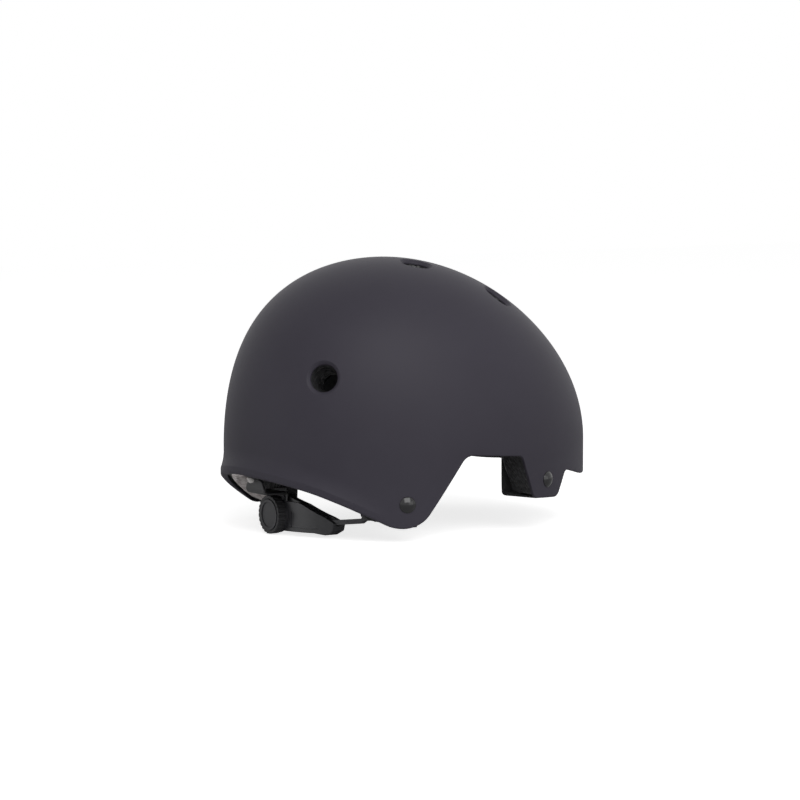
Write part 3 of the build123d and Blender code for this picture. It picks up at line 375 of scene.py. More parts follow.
def lat_at(inset, turn, height):
    """Latitude at which a dome has a height below the crown."""
    share = (height + RISE) / (RISE - inset)
    lat = np.clip(share, -1.0, 1.2)
    for _ in range(6):
        swell = fullness(turn, np.clip(lat, 0.0, pi / 2))
        lat = np.where(share > 0, np.arcsin(np.clip(share / swell, -1.0, 1.0)), share)
    return lat


# Rim line in side view: corners with their roundings, as (y, drop, radius)
RIM = [
    (165.0, 134.0, 0.0), (114.0, 155.6, 120.0), (58.0, 186.2, 21.0), (20.6, 131.0, 10.0),
    (-26.6, 134.3, 5.0), (-38.5, 164.6, 4.5), (-64.5, 166.0, 6.5), (-75.4, 147.9, 5.0),
    (-110.0, 156.0, 60.0), (-165.0, 149.0, 0.0),
]


def rounded(corners, steps=14):
    """Corners (x, y, radius) as a line with each corner turned into an arc."""
    line = [np.array(corners[0][:2])]
    for before, here, after in zip(corners, corners[1:], corners[2:]):
        point = np.array(here[:2])
        to_a, to_b = np.array(before[:2]) - point, np.array(after[:2]) - point
        to_a, to_b = to_a / np.linalg.norm(to_a), to_b / np.linalg.norm(to_b)
        half = np.arccos(np.clip(to_a @ to_b, -1, 1)) / 2
        middle = (to_a + to_b) / np.linalg.norm(to_a + to_b)
        centre = point + middle * here[2] / sin(half)
        start = point + to_a * here[2] / tan(half) - centre
        turn = pi - 2 * half
        turn *= np.sign(to_b[0] * to_a[1] - to_b[1] * to_a[0]) or 1
        for i in range(steps + 1):
            a = turn * i / steps
            x, y = start[0] * cos(a) - start[1] * sin(a), start[0] * sin(a) + start[1] * cos(a)
            line.append(centre + np.array((x, y)))
    line.append(np.array(corners[-1][:2]))
    return np.array(line)


rim_line = rounded([(y, -drop, r) for y, drop, r in RIM])
rim_line = rim_line[np.argsort(rim_line[:, 0])]


def rim_height(y):
    """Height of the rim line at a distance behind mid length."""
    return np.interp(y, rim_line[:, 0], rim_line[:, 1])


def rim_lat(inset, turn, high):
    """Latitude of the wall at a height above the rim line."""
    lat = np.zeros_like(turn)
    for _ in range(6):
        lat = lat_at(inset, turn, rim_height(dome(inset, turn, lat)[..., 1]) + high)
    return lat


def piece(name, points, faces, look, body="helmet", uv=None):
    """Mesh object from points in millimetres from the crown."""
    mesh = bpy.data.meshes.new(name)
    places = ((np.asarray(points) + ORIGIN) / 1000.0).tolist()
    mesh.from_pydata(places, [], [list(map(int, f)) for f in faces])
    mesh.materials.append(look.material)
    mesh.shade_smooth()
    if uv is not None:
        layer = mesh.uv_layers.new(name="threads")
        loops = np.empty(len(mesh.loops), dtype=np.int32)
        mesh.loops.foreach_get("vertex_index", loops)
        layer.data.foreach_set("uv", (np.asarray(uv)[loops] / 1000.0).ravel())
    made = bpy.data.objects.new(name, mesh)
    bpy.context.scene.collection.objects.link(made)
    if body:
        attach(made, body)
    return made


def grid_faces(rows, columns, closed=False, start=0):
    """Quads of a grid of points, row by row. Closed joins the last column to the first."""
    faces = []
    for i in range(rows - 1):
        for j in range(columns if closed else columns - 1):
            a, b = i * columns + j, i * columns + (j + 1) % columns
            c, d = (i + 1) * columns + (j + 1) % columns, (i + 1) * columns + j
            faces.append((start + a, start + b, start + c, start + d))
    return faces


def two_sides(rows, columns):
    """Faces of two grids, front and back, joined round their edge."""
    count = rows * columns
    faces = grid_faces(rows, columns)
    faces += [tuple(reversed(f)) for f in grid_faces(rows, columns, start=count)]
    edge = [i * columns for i in range(rows)] + [(rows - 1) * columns + j for j in range(1, columns)]
    edge += [i * columns + columns - 1 for i in range(rows - 2, -1, -1)]
    edge += [j for j in range(columns - 2, 0, -1)]
    return faces + [(a, b, b + count, a + count) for a, b in zip(edge, edge[1:] + edge[:1])]


def arc_length(path):
    """Distance along a line of points, at each of them."""
    return np.concatenate([[0.0], np.cumsum(np.linalg.norm(np.diff(path, axis=0), axis=1))])


# Outer shell: one skin from the crown over the lip, round the rim and up inside. The
# turns lie closer together where the rim bends, and all rows share them
half_turns = np.linspace(0.0, pi, 4001)
run = np.diff(dome(0.0, half_turns, rim_lat(0.0, half_turns, 0.0)), axis=0)
length = np.linalg.norm(run, axis=1)
slope = np.arctan2(run[:, 2], np.hypot(run[:, 0], run[:, 1]))
bend = np.abs(np.gradient(slope)) / length
busy = np.convolve(np.minimum(bend * 6.0, 1.0), np.ones(41) / 41, mode="same")
per_mm = 0.42 + 1.1 * np.minimum(busy * 2.0, 1.0)
weight = np.concatenate([[0.0], np.cumsum(length * per_mm)])
count = int(weight[-1])
half = np.interp(np.linspace(0, weight[-1], count + 1), weight, half_turns)
turns = np.concatenate([half, 2 * pi - half[-2:0:-1]])

# Lip at the nape: how high it is, how far it stands out and where it dies away
LIP, FLARE_RISE, FLARE, FLARE_TURN = 5.0, 12.0, 2.1, radians(61.0)
FLARE_MORE, FLARE_LESS = 0.84, 0.67
share = np.minimum(np.abs((turns + pi) % (2 * pi) - pi) / FLARE_TURN, 1.0)
proud = np.maximum((FLARE + FLARE_MORE) * (1 - share ** 4) - FLARE_LESS, 0.0)

# Rim profile as (inset, height over the rim line), from the outside to the inside
WALL_OUT, WALL_IN = 24.0, 16.0
profile = [(0.0, h) for h in (21.0, 18.5, 16.5, 14.7, 12.9, 11.1, 9.4, 7.8, 6.5, 5.7)]
profile += [(0.0, h) for h in (5.25, 5.0, 4.7, 4.0, 2.6, 1.4)]
profile += [(0.03, 0.8), (0.15, 0.45), (0.4, 0.15), (0.8, 0.0), (2.3, 0.0), (2.7, 0.12)]
profile += [(2.93, 0.4), (WALL, 0.9), (WALL, 3.0), (WALL, 8.0), (WALL, WALL_IN)]
points = [dome(0.0, 0.0, pi / 2)[None, :]]
flat_out = dome(0.0, turns, np.zeros_like(turns)) * np.array((1 / WIDTH ** 2, 1 / LENGTH ** 2, 0.0))
flat_out[:, 2] = 0.0
flat_out /= np.linalg.norm(flat_out, axis=1, keepdims=True)
top = rim_lat(0.0, turns, WALL_OUT)
for f in np.linspace(0.0, 1.0, 76)[1:]:
    points.append(dome(0.0, turns, pi / 2 + (top - pi / 2) * f))
for inset, high in profile:
    lead = np.clip((LIP + FLARE_RISE - high) / FLARE_RISE, 0.0, 1.0) ** 2
    out = proud * lead if inset < WALL / 2 else 0.0 * proud
    points.append(dome(inset, turns, rim_lat(inset, turns, high)) + flat_out * out[:, None])
high_inside = rim_lat(WALL, turns, WALL_IN)
for f in np.linspace(1.0, 0.0, 22)[1:-1]:
    points.append(dome(WALL, turns, pi / 2 + (high_inside - pi / 2) * f))
ring_count = len(points) - 1
inner_pole = dome(WALL, 0.0, pi / 2)[None, :]
cloud = np.concatenate([*points, inner_pole])
n = len(turns)
faces = [(0, 1 + j, 1 + (j + 1) % n) for j in range(n)]
faces += [tuple(reversed(f)) for f in grid_faces(ring_count, n, closed=True, start=1)]
last = 1 + (ring_count - 1) * n
faces += [(len(cloud) - 1, last + (j + 1) % n, last + j) for j in range(n)]
shell = piece("shell_skin", cloud, faces, shell_look, body=None)

# Vents: dished bores cut through the shell, as (turn, latitude) in degrees on one side,
# then the two rivet seats at each side, as (y, drop)
VENTS = [(35.5, 24.2), (104.9, 74.9), (132.7, 51.3), (165.9, 18.3)]
VENT_BORE, VENT_DISH, DISH_DEPTH = 19.0, 27.5, 2.2
REAR_RIVET, FRONT_RIVET = (62.4, 163.1), (-53.2, 152.6)
CUT_IN, CUT_OUT, SEAT_DEPTH = -8.0, 6.0, -0.4


def frame_on(spot, out):
    """Rows x, y, z of axes at a spot with z outwards and x as near up as it can be."""
    up = np.array((0.0, 0.0, 1.0))
    z = np.array(out) / np.linalg.norm(out)
    x = up - z * (up @ z)
    x /= np.linalg.norm(x)
    return np.array(spot), np.stack([x, np.cross(z, x), z])


def turned(profile, spot, axes, steps=96):
    """Closed form of revolution about z from (radius, height) points, first and last on the axis."""
    rings = np.array([p for p in profile if p[0] > 0])
    angles = np.arange(steps) * 2 * pi / steps
    local = np.stack([
        rings[:, 0, None] * np.cos(angles), rings[:, 0, None] * np.sin(angles),
        np.repeat(rings[:, 1, None], steps, axis=1),
    ], axis=-1).reshape(-1, 3)
    ends = np.array([(0, 0, profile[0][1]), (0, 0, profile[-1][1])])
    cloud = np.concatenate([local, ends]) @ axes + spot
    faces = grid_faces(len(rings), steps, closed=True)
    low, high = len(local), len(local) + 1
    last = (len(rings) - 1) * steps
    faces += [(low, (j + 1) % steps, j) for j in range(steps)]
    faces += [(high, last + j, last + (j + 1) % steps) for j in range(steps)]
    return cloud, faces


bore, dish = VENT_BORE / 2, VENT_DISH / 2
cut = [(0, CUT_IN), (bore - 0.02, CUT_IN), (bore, -DISH_DEPTH - 0.5)]
for t in np.linspace(0.0, 1.0, 9):
    out = bore + 0.3 + (dish - bore - 0.3) * t
    cut.append((out, -DISH_DEPTH * (1 - t) ** 1.6 - 0.02 + 0.25 * t ** 3))
cut += [(dish + 0.4, CUT_OUT), (0, CUT_OUT)]
cutters = []
for turn, lat in VENTS:
    spot = dome(0.0, radians(turn), radians(lat))
    out = outward(np.array(radians(turn)), np.array(radians(lat)))
    for side in (1.0, -1.0):
        flip = np.array((side, 1.0, 1.0))
        cutters.append(turned(cut, *frame_on(spot * flip, out * flip)))
seats = []
for y, drop in (REAR_RIVET, FRONT_RIVET):
    turn = np.arccos(y / (LENGTH / 2))
    lat = min(0.0, (RISE - drop) / RISE)
    spot = dome(0.0, turn, lat)
    out = outward(np.array(turn), np.array(lat))
    for side in (1.0, -1.0):
        flip = np.array((side, 1.0, 1.0))
        seats.append(frame_on(spot * flip, out * np.array((side, 1.0, 0.0))))
seat_cut = [(0, CUT_IN), (2.6, CUT_IN), (2.6, SEAT_DEPTH), (5.8, SEAT_DEPTH), (5.9, 4.0), (0, 4.0)]
cutters += [turned(seat_cut, *seat, steps=64) for seat in seats]
knives = []
for i, (cloud, faces) in enumerate(cutters):
    knife = piece(f"knife_{i}", cloud, faces, shell_look, body=None)
    knives.append(knife)
    cutting = shell.modifiers.new(f"cut_{i}", "BOOLEAN")
    cutting.operation = "DIFFERENCE"
    cutting.solver = "EXACT"
    cutting.object = knife
ready = shell.evaluated_get(bpy.context.evaluated_depsgraph_get())
solid = bpy.data.meshes.new_from_object(ready)
shell.data = solid
shell.data.set_sharp_from_angle(angle=radians(32.0))
shell.modifiers.clear()
for knife in knives:
    bpy.data.objects.remove(knife)
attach(shell, "helmet")
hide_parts("outer_shell")


def unit(v):
    """Directions of one unit's length."""
    return v / np.linalg.norm(v, axis=-1, keepdims=True)


def through_points(x, table):
    """Smooth curve through table's rows (x, values...), at the places x."""
    table = np.array(table)
    knots, values = table[:, 0], table[:, 1:]
    slopes = np.gradient(values, knots, axis=0)
    i = np.clip(np.searchsorted(knots, x) - 1, 0, len(knots) - 2)
    step = knots[i + 1] - knots[i]
    t = np.clip((x - knots[i]) / step, 0.0, 1.0)[:, None]
    step = step[:, None]
    return (
        (2 * t ** 3 - 3 * t ** 2 + 1) * values[i] + (t ** 3 - 2 * t ** 2 + t) * step * slopes[i]
        + (3 * t ** 2 - 2 * t ** 3) * values[i + 1] + (t ** 3 - t ** 2) * step * slopes[i + 1]
    )


# Where the soft pieces lie: depths from the shell's outside, in millimetres
FOAM_IN = 26.3
PAD_OUT, PAD_THICK = 26.6, 6.0
STRAP_DEPTH, LAYER = 34.6, 2.1

# Cushions: width of the flat weld and of the slope above it, grooves, and pucker height
WELD, SHOULDER, GROOVE, PUCKER = 2.2, 9.0, 1.7, 0.16


def at_drop(drop):
    """Latitude of a drop on the pads' outer face."""
    share = (RISE - drop) / (RISE - PAD_OUT)
    return np.where(share > 0, np.arcsin(np.clip(share, 0.0, 1.0)), share)


def on_side(y, drop, depth):
    """Point on the wearer's left, depth inwards from the pads' outer face."""
    inset, turn = PAD_OUT + depth, np.full_like(y, pi / 2)
    lat = at_drop(drop)
    for _ in range(10):
        off = (y - dome(inset, turn, lat)[..., 1]) / ((LENGTH / 2 - inset) * np.cos(np.maximum(lat, 0.0)))
        turn = np.arccos(np.clip(np.cos(turn) + off, -1.0, 1.0))
    return dome(inset, turn, lat)


def on_end(x, drop, depth, front):
    """Point at the brow or the nape, depth inwards from the pads' outer face."""
    inset, turn = PAD_OUT + depth, np.zeros_like(x)
    lat = at_drop(drop)
    for _ in range(10):
        here = dome(inset, pi - turn if front else turn, lat)
        off = (x - here[..., 0]) / ((WIDTH / 2 - inset) * np.cos(np.maximum(lat, 0.0)))
        turn = np.arcsin(np.clip(np.sin(turn) + off, -1.0, 1.0))
    return dome(inset, pi - turn if front else turn, lat)


def on_crown(y, x, depth):
    """Point under the crown, depth inwards from the pads' outer face."""
    inset = PAD_OUT + depth
    lat = np.full_like(y, 1.3)
    for _ in range(25):
        across, along = x / (WIDTH / 2 - inset), (y - lean_at(lat)) / (LENGTH / 2 - inset)
        lat = np.arccos(np.clip(np.hypot(across, along), 0.0, 1.0))
    return dome(inset, np.arctan2(across, along), lat)


def pillow(
    name, nodes, place, stations, thick, grooves, body="helmet", flange=1.1, mirror=(1.0,), across=(),
):
    """Cushion skins: a welded border, a crowned face and grooves drawn across it.

    place takes the distance along, the distance across and the depth; stations give
    the two edges along the way; grooves are places along, and across shares from -1 to 1.
    """
    along, wide = 150, 64
    u = (1 - np.cos(np.linspace(0.0, pi, along))) / 2
    v = np.sin(np.linspace(-pi / 2, pi / 2, wide))
    ends = stations[0][0], stations[-1][0]
    s = ends[0] + (ends[1] - ends[0]) * u
    low, high = through_points(s, stations).T
    half, middle = (high - low) / 2, (high + low) / 2
    reach = np.minimum(np.abs(s - ends[0]), np.abs(s - ends[1]))
    corner = np.minimum(np.abs(half).max() * 0.7, (ends[1] - ends[0]) / 2.2)
    round_off = np.sqrt(np.maximum(1 - np.maximum(1 - reach / corner, 0.0) ** 2, 0.0))
    half = half * (0.35 + 0.65 * round_off)
    half[[0, -1]] *= 0.9
    s_all = np.repeat(s[:, None], wide, axis=1)
    h_all = middle[:, None] + half[:, None] * v[None, :]
    border = np.minimum((1 - np.abs(v))[None, :] * np.abs(half)[:, None], reach[:, None])
    crown = 1 - np.maximum(1 - np.maximum(border - WELD, 0.0) / SHOULDER, 0.0) ** 2.4
    depth = flange * np.sqrt(np.clip(border / 0.8, 0.0, 1.0)) + (thick - flange) * crown ** 0.6
    ease = np.clip((border - 1.0) / 3.0, 0.0, 1.0)
    for g in grooves:
        depth -= 0.5 * (thick - flange) * np.exp(-((s_all - g) / GROOVE) ** 2) * ease
    for g in across:
        away = (v[None, :] - g) * np.abs(half)[:, None]
        depth -= 0.5 * (thick - flange) * np.exp(-(away / GROOVE) ** 2) * ease
    pucker = np.sin(s_all * 0.9 + 2.0 * np.sin(h_all * 0.21))
    pucker = pucker * np.sin(h_all * 0.55 + 1.3 * np.sin(s_all * 0.17))
    depth += PUCKER * pucker * ease * np.exp(-((border - 4.0) / 4.0) ** 2)
    front = place(s_all, h_all, depth)
    rear = place(s_all, h_all, 0.0 * depth)
    faces = two_sides(along, wide)
    cloud = np.concatenate([front.reshape(-1, 3), rear.reshape(-1, 3)])
    threads = np.stack([s_all, h_all], axis=-1).reshape(-1, 2)
    made = []
    for side in mirror:
        flip = np.array((side, 1.0, 1.0))
        turned_faces = faces if side > 0 else [tuple(reversed(f)) for f in faces]
        label = name if len(mirror) == 1 else f"{name}_{'left' if side > 0 else 'right'}"
        uv = np.tile(threads, (2, 1))
        skin = piece(label, cloud * flip, turned_faces, pad_look, body, uv)
        fix_normals(skin)
        made.append(skin)
    for skin, node in zip(made, nodes):
        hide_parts(node)
    return made


def fix_normals(made):
    """Turn a closed skin's faces outwards."""
    skin = bmesh.new()
    skin.from_mesh(made.data)
    bmesh.ops.recalc_face_normals(skin, faces=skin.faces)
    skin.to_mesh(made.data)
    skin.free()


# Comfort pads: brushed cloth over soft foam, with a welded border and grooves
SIDE = [
    (-61.0, 153.5, 122.0), (-54.0, 160.0, 108.0), (-44.0, 160.5, 100.0), (-36.5, 153.0, 96.0),
    (-29.0, 139.0, 94.0), (-18.0, 130.5, 93.0), (2.0, 129.0, 93.0), (14.0, 127.5, 97.0),
    (23.0, 122.0, 104.0),
]
BROW_X = (-54.0, -44.0, -22.0, 0.0, 22.0, 44.0, 54.0)
NAPE_X = (-42.0, -32.0, -16.0, 0.0, 16.0, 32.0, 42.0)
CROWN = (
    (-17.0, 17.0), (-8.0, 18.5), (2.0, 14.0), (9.0, 11.5), (16.0, 14.0), (28.0, 19.5), (42.0, 19.5),
    (57.0, 16.0),
)
pillow(
    "side_pad", ("side_pad_left", "side_pad_right"), on_side, SIDE,
    PAD_THICK, (-33.0, -8.0), mirror=(1.0, -1.0),
)
pillow(
    "brow_pad", ("brow_pad",), lambda s, h, d: on_end(s, h, d, True),
    [(x, 143.0 + abs(x) / 20, 112.0 + abs(x) / 8) for x in BROW_X], PAD_THICK, (-18.0, 18.0),
)
pillow(
    "nape_pad", ("nape_pad",), lambda s, h, d: on_end(s, h, d, False),
    [(x, 134.0, 110.0 + abs(x) / 8) for x in NAPE_X], PAD_THICK, (-13.0, 13.0),
)
pillow("crown_pad", ("crown_pad",), on_crown, [(y, -w, w) for y, w in CROWN], PAD_THICK, (24.0,))

# Pads of the nape cradle
RING_Y, CRADLE_PAD_BACK, CRADLE_PAD_THICK = 37.0, 62.95, 4.0
CRADLE_PAD = [
    (8.0, -183.0, -165.8), (14.0, -183.4, -167.0), (19.0, -183.6, -168.6), (28.0, -183.9, -173.0),
    (39.0, -184.1, -177.6),
]


def on_ring(arc, height, depth):
    """Point on the cradle's inside, depth towards the head."""
    angle = arc / CRADLE_PAD_BACK
    out = CRADLE_PAD_BACK - depth
    return np.stack([out * np.sin(angle), RING_Y + out * np.cos(angle), height + 0 * depth], axis=-1)


pads = pillow(
    "cradle_pad", (), on_ring, CRADLE_PAD, CRADLE_PAD_THICK, (19.0,), body="cradle", mirror=(1.0, -1.0),
)
for pad in pads:
    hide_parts("cradle_pads")


# Webbing: flat straps with soft edges, swept along the same routes as the solids
WEB_WIDTH, WEB_THICK, WEB_STEP = 15.0, 1.4, 1.2


def strap(name, node, path, wide, body="helmet"):
    """Strap swept along a path of points, with the direction across it at each."""
    width, thick = WEB_WIDTH, WEB_THICK
    arc = arc_length(path)
    count = int(arc[-1] / WEB_STEP) + 1
    places = np.linspace(0.0, arc[-1], count)
    path = np.stack([np.interp(places, arc, path[:, k]) for k in range(3)], axis=1)
    wide = np.stack([np.interp(places, arc, wide[:, k]) for k in range(3)], axis=1)
    along = unit(np.gradient(path, axis=0))
    wide = unit(wide - along * np.sum(wide * along, axis=1, keepdims=True))
    deep = np.cross(along, wide)
    edge = thick * 0.42
    flat = np.linspace(-width / 2 + edge, width / 2 - edge, 15)
    lower = [(x, -thick / 2 * (0.86 + 0.14 * (1 - (2 * x / width) ** 2))) for x in flat]
    upper = [(x, -z) for x, z in reversed(lower)]
    left = [
        (-width / 2 + edge * (1 - cos(a)), 0.84 * thick / 2 * sin(a))
        for a in np.linspace(pi / 2 * 0.8, -pi / 2 * 0.8, 5)
    ]
    right_rim = [(-x, -z) for x, z in left]
    section = np.array(lower + right_rim + upper + left)
    k = len(section)
    cloud = path[:, None, :] + wide[:, None, :] * section[None, :, :1]
    cloud = cloud + deep[:, None, :] * section[None, :, 1:]
    faces = grid_faces(count, k, closed=True)
    faces += [tuple(reversed(range(k))), tuple(range((count - 1) * k, count * k))]
    uv = np.stack([
        np.repeat(places[:, None], k, axis=1), np.repeat(section[None, :, 0], count, axis=0),
    ], axis=-1)
    made = piece(name, cloud.reshape(-1, 3), faces, strap_look, body, uv.reshape(-1, 2))
    fix_normals(made)
    made.data.set_sharp_from_angle(angle=radians(70.0))
    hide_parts(node)
    return made


def mirror_path(path, wide, side):
    """A strap's path and directions for the side, 1 left or -1 right."""
    flip = np.array((side, 1.0, 1.0))
    return path * flip, wide * flip


DIVIDER_TURN, DIVIDER_LAT = radians(88.0), radians(34.0)
BUCKLE_DEPTH, BUCKLE_LAT = 38.0, radians(69.0)
BAR_IN, WRAP_RADIUS, CHIN_RUN = 3.4, 2.6, 100.0


def leg(seat, rivet_drop, foam_low, depth, top_drop, end_inset):
    """Strap leg: down behind the rivet, under the foam, up the wall to the divider."""
    spot, axes = seat
    up, wide, out = axes
    bottom, top, behind = rivet_drop - foam_low - 1.0, rivet_drop - top_drop, 4.0
    corners = [(7.0, -behind, 0.0), (bottom, -behind, 1.5), (bottom, -depth, 3.0), (top, -depth, 0.0)]
    hook = np.array([spot + up * x + out * z for x, z in rounded(corners, 8)])
    foot = hook[-1]
    start_turn = np.arccos(foot[1] / (LENGTH / 2 - depth))
    start_lat = np.arcsin((RISE - top_drop - 2.5) / (RISE - depth))
    t = np.linspace(0.0, 1.0, 60)
    ease = t * t * (3 - 2 * t)
    turn, lat = start_turn + (DIVIDER_TURN - start_turn) * ease, start_lat + (DIVIDER_LAT - start_lat) * t
    inset = depth + (end_inset - depth) * np.sin(np.minimum(1.0, 2.5 * t) * pi / 2)
    route = dome(inset, turn, lat)
    sides = unit(np.cross(outward(turn, lat), np.gradient(route, axis=0)))
    path = np.concatenate([hook, route[1:]])
    wide = np.concatenate([np.repeat(wide[None, :], len(hook), axis=0), sides[1:]])
    for _ in range(6):
        for line, first in ((path, len(hook) - 4), (wide, len(hook) - 6)):
            line[first:-1] = (line[first - 1:-2] + 2 * line[first:-1] + line[first + 1:]) / 4
    return path, wide


front_leg = leg(seats[2], FRONT_RIVET[1], 164.0, STRAP_DEPTH, 127.5, STRAP_DEPTH)
rear_leg = leg(seats[0], REAR_RIVET[1], 177.6, FOAM_IN + 2.0, 130.5, STRAP_DEPTH + LAYER)
for side, hand in ((1.0, "left"), (-1.0, "right")):
    strap(f"front_webbing_{hand}", f"front_strap_{hand}", *mirror_path(*front_leg, side))
    strap(f"rear_webbing_{hand}", f"rear_strap_{hand}", *mirror_path(*rear_leg, side))

# Chin straps: from the divider to the buckle's bar, round it and sewn back on themselves
t = np.linspace(0.012, 1.0, 60)
chin = dome(
    STRAP_DEPTH + (BUCKLE_DEPTH - STRAP_DEPTH) * t, DIVIDER_TURN + radians(2.0) * t,
    DIVIDER_LAT + (BUCKLE_LAT - DIVIDER_LAT) * t,
)
bar = dome(BUCKLE_DEPTH, np.array(pi / 2), BUCKLE_LAT)
bar_middle = bar + np.array((BAR_IN, 0.0, 0.0))
chin = chin[chin[:, 0] > bar_middle[0] + 5.0]
chin_out = outward(np.full(len(chin), pi / 2), np.linspace(DIVIDER_LAT, BUCKLE_LAT, len(chin)))
chin_wide = unit(np.cross(chin_out, np.gradient(chin, axis=0)))
ahead = unit(bar_middle + np.array((0.0, 0.0, WRAP_RADIUS)) - chin[-1])
over = np.cross(ahead, np.array((0.0, 1.0, 0.0)))
over = over * np.sign(over[2])
wrap = [bar_middle + WRAP_RADIUS * (over * cos(a) + ahead * sin(a)) for a in np.linspace(0.0, pi, 13)]
tail = [wrap[-1] - ahead * d + over * 0.9 * min(1.0, d / 5.0) for d in np.linspace(1.0, 11.0, 11)]
chin_path = np.concatenate([chin, wrap, tail])
chin_side = np.concatenate([chin_wide, np.repeat(chin_wide[-1:], len(wrap) + len(tail), axis=0)])
strap("chin_webbing_left", "chin_strap_left", chin_path, chin_side)
loose = strap(
    "chin_webbing_right", "chin_strap_right", *mirror_path(chin_path, chin_side, -1.0), body=None,
)
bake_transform(loose)


def on_chin(along, across, depth):
    """Point over the left chin strap, depth towards the head."""
    share = along / CHIN_RUN
    inset = STRAP_DEPTH + (BUCKLE_DEPTH - STRAP_DEPTH) * share + 1.0
    turn, lat = DIVIDER_TURN + radians(2.0) * share, DIVIDER_LAT + (BUCKLE_LAT - DIVIDER_LAT) * share
    middle = dome(inset, turn, lat)
    out = outward(turn, lat)
    ahead = unit(dome(inset, turn, lat + 0.01) - middle)
    return middle + np.cross(out, ahead) * across[..., None] - out * depth[..., None]


pillow(
    "chin_pad", ("chin_pad",), on_chin,
    [(16.0, -9.5, 9.5), (26.0, -11.0, 11.0), (44.0, -11.0, 11.0), (62.0, -11.0, 11.0), (72.0, -9.5, 9.5)],
    3.6, (), flange=0.9, across=(0.0,),
)

# Foam's underside at the nape: how far it stands over the rim, and the hollow cut in it
FOAM_LIFT = 2.0
HOLLOW_TURN, HOLLOW_MID, HOLLOW_SIDE = radians(54.0), 3.0, 11.0
HOLLOW_START, HOLLOW_RUN = 8.0, 18.3


def foam_under(y):
    """Height of the foam's underside round the nape, where it follows the rim."""
    (y_tail, tail, _), (y_nape, nape, _), (y_lobe, lobe, _) = RIM[:3]
    slope = np.where(y > y_nape, (nape - tail) / (y_tail - y_nape), (lobe - nape) / (y_nape - y_lobe))
    return -(nape + slope * (y_nape - y)) + FOAM_LIFT * np.hypot(1.0, slope)


def under_nape(turn, inset):
    """Point on the foam's underside at a turn from the rear and an inset from the wall."""
    foot = dome(0.0, turn, 0.0 * turn)
    out = foot * np.array((1 / WIDTH ** 2, 1 / LENGTH ** 2, 0.0))
    out[..., 2] = 0.0
    spot = foot - unit(out) * inset[..., None]
    share = turn / HOLLOW_TURN
    rise = HOLLOW_MID * (1 - share ** 4) + HOLLOW_SIDE * np.sin(pi * share) ** 2 - 0.6
    plane = foam_under(spot[..., 1])
    spot[..., 2] = np.maximum(plane, plane + rise * (inset - HOLLOW_START) / HOLLOW_RUN - 0.2)
    return spot


# Label: thin film pressed on the hollowed underside of the foam, wrinkled
LABEL_START, LABEL_TURN, LABEL_OUT, LABEL_IN = 7.2, radians(46.8), 5.5, 24.1
NAPE_RADIUS, FILM_THICK, CREASES = 118.0, 0.22, 60
along, wide = 220, 70
inset = np.linspace(LABEL_OUT, LABEL_IN, wide)
trial = np.linspace(0.0, radians(70.0), 300)
first, last = np.zeros(wide), np.zeros(wide)
for j in range(wide):
    line = under_nape(trial, np.full_like(trial, inset[j]))
    first[j] = np.interp(LABEL_START, line[:, 0], trial)
    last[j] = np.interp(LABEL_TURN, np.arctan2(line[:, 0], line[:, 1]), trial)
turn = first[None, :] + (last - first)[None, :] * np.linspace(0.0, 1.0, along)[:, None]
inset = np.repeat(inset[None, :], along, axis=0)
film = under_nape(turn, inset)
arc = turn * NAPE_RADIUS
sag = np.zeros_like(arc)
rng = np.random.default_rng(7)
for _ in range(CREASES):
    a0, i0 = rng.uniform(arc.min(), arc.max()), rng.uniform(4.0, 25.0)
    lie, long, wave = rng.uniform(-0.9, 0.9) + 0.9, rng.uniform(4.0, 12.0), rng.uniform(0.6, 1.5)
    da, di = arc - a0, inset - i0
    on, off = da * cos(lie) + di * sin(lie), -da * sin(lie) + di * cos(lie)
    sag += rng.uniform(0.25, 0.75) * np.exp(-(on / long) ** 2 - (off / wave) ** 2)
border = np.minimum(
    np.minimum(arc - arc[0], arc[-1] - arc), np.minimum(inset - LABEL_OUT, LABEL_IN - inset),
)
sag = np.minimum(sag, 1.3) * np.clip(border / 1.5, 0.25, 1.0) + 0.2
down = np.array((0.0, 0.0, 1.0))
lower, upper = film - down * (sag + FILM_THICK)[..., None], film - down * sag[..., None]
cloud = np.concatenate([lower.reshape(-1, 3), upper.reshape(-1, 3)])
label = piece("label", cloud, two_sides(along, wide), label_look)
fix_normals(label)
float(arc.max() - arc.min()) / 1000.0
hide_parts("inner_label")

# Hanger: nylon strip from under the foam to the pegs on the cradle's web
WEB_FACE, HANG_GAP, DIAL_Z, NAPE_SLOPE = 104.85, 1.2, -176.0, 0.4235
lie = HANG_GAP * hypot(1.0, NAPE_SLOPE)
HANG_REAR, HANG_BEND, HANG_RUN, HANG_FOOT = 131.0, 124.5, -160.2, -165.8
HANG_HALF, TONGUE_HALF, HANG_THICK, DIAL_ROOM = 12.0, 5.0, 1.8, 13.25
hang = rounded([
    (HANG_REAR, float(foam_under(np.array(HANG_REAR))) - lie, 0.0),
    (HANG_BEND, float(foam_under(np.array(HANG_BEND))) - lie, 2.0), (HANG_BEND, HANG_RUN, 3.0),
    (WEB_FACE + HANG_GAP, HANG_RUN, 1.4), (WEB_FACE + HANG_GAP, HANG_FOOT, 0.0),
], 10)
arc = arc_length(hang)
rows, columns = 160, 49
share = np.sin(np.linspace(-pi / 2, pi / 2, columns))
half = np.interp(-hang[:, 1], (150.5, 152.5), (TONGUE_HALF, HANG_HALF))
sheets = []
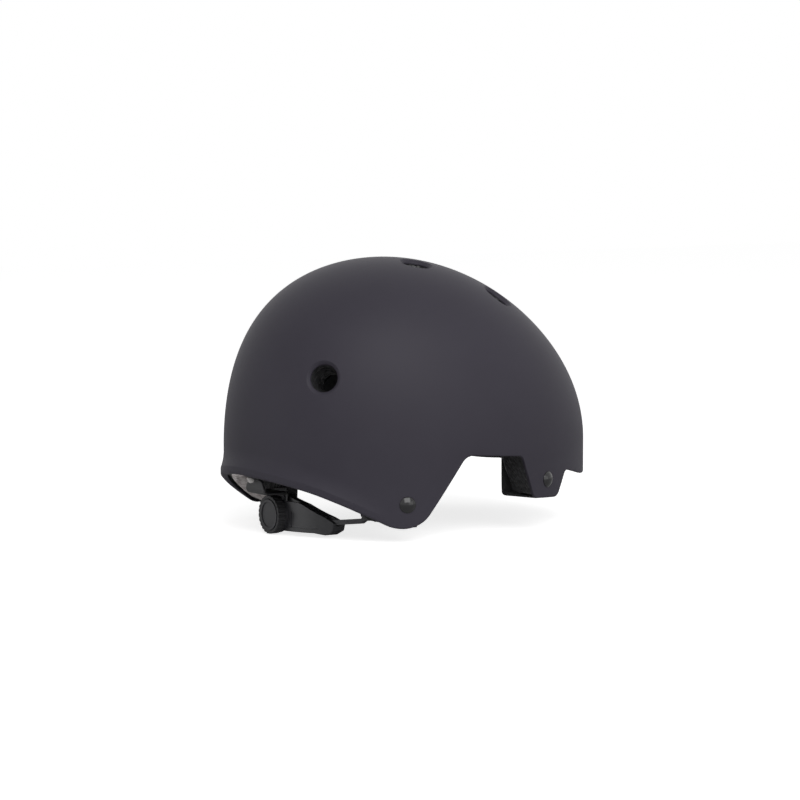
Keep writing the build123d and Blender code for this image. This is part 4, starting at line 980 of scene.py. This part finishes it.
for away in (HANG_THICK / 2, -HANG_THICK / 2):
    grid = np.zeros((rows, columns, 3))
    for j, v in enumerate(share):
        foot = max(HANG_FOOT, DIAL_Z + np.sqrt(DIAL_ROOM ** 2 - (HANG_HALF * v) ** 2))
        end = np.interp(-foot, -hang[:, 1], arc)
        places = np.linspace(0.0, end, rows)
        y, z = np.interp(places, arc, hang[:, 0]), np.interp(places, arc, hang[:, 1])
        dy, dz = np.gradient(y), np.gradient(z)
        size = np.hypot(dy, dz)
        wide_here = np.interp(places, arc, half)
        smooth = np.convolve(np.pad(wide_here, 3, mode="edge"), np.ones(7) / 7, mode="valid")
        corner = np.sqrt(np.clip(1 - (1 - np.clip(places / 2.0, 0.0, 1.0)) ** 2, 0.0, 1.0)) * 1.5 - 1.5
        thin = away * np.sqrt(np.clip((1 - abs(v)) * HANG_HALF / 0.5, 0.05, 1.0))
        grid[:, j, 0] = v * (smooth + corner)
        grid[:, j, 1] = y - dz / size * thin
        grid[:, j, 2] = z + dy / size * thin
    sheets.append(grid.reshape(-1, 3))
hanger = piece(
    "hanger", np.concatenate(sheets), two_sides(rows, columns), hanger_look, body=None,
)
fix_normals(hanger)
hanger.data.set_sharp_from_angle(angle=radians(45.0))
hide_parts("hanger_strip")
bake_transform(hanger)

# Floor: white as the camera sees it, with a faint shadow, and clear from below
FLOOR_GLOW, FLOOR_HALF, FLOOR_LEVEL = 0.78, 3.0, -0.0005
floor_look = Look("studio_floor")
tree = floor_look.tree
glow = tree.nodes.new("ShaderNodeEmission")
glow.inputs["Strength"].default_value = FLOOR_GLOW
both = tree.nodes.new("ShaderNodeAddShader")
floor_look.set(Base_Color=(0.85, 0.85, 0.85), Roughness=0.9, Specular_IOR_Level=0.0)
mixed = tree.nodes.new("ShaderNodeMixShader")
rays = tree.nodes.new("ShaderNodeLightPath")
tree.links.new(floor_look.shader.outputs[0], both.inputs[0])
tree.links.new(glow.outputs[0], both.inputs[1])
tree.links.new(rays.outputs["Is Camera Ray"], mixed.inputs[0])
tree.links.new(floor_look.shader.outputs[0], mixed.inputs[1])
tree.links.new(both.outputs[0], mixed.inputs[2])
under = tree.nodes.new("ShaderNodeNewGeometry")
clear = tree.nodes.new("ShaderNodeBsdfTransparent")
sided = tree.nodes.new("ShaderNodeMixShader")
tree.links.new(under.outputs["Backfacing"], sided.inputs[0])
tree.links.new(mixed.outputs[0], sided.inputs[1])
tree.links.new(clear.outputs[0], sided.inputs[2])
tree.links.new(sided.outputs[0], tree.nodes["Material Output"].inputs["Surface"])
corners = [(-1, -1), (1, -1), (1, 1), (-1, 1)]
mesh = bpy.data.meshes.new("floor")
mesh.from_pydata([(x * FLOOR_HALF, y * FLOOR_HALF, FLOOR_LEVEL) for x, y in corners], [], [(0, 1, 2, 3)])
mesh.materials.append(floor_look.material)
floor = bpy.data.objects.new("floor", mesh)
bpy.context.scene.collection.objects.link(floor)
floor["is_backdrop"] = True

size = {"cad": [list(v) for v in cad_box], "visual": [list(v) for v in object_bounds()]}
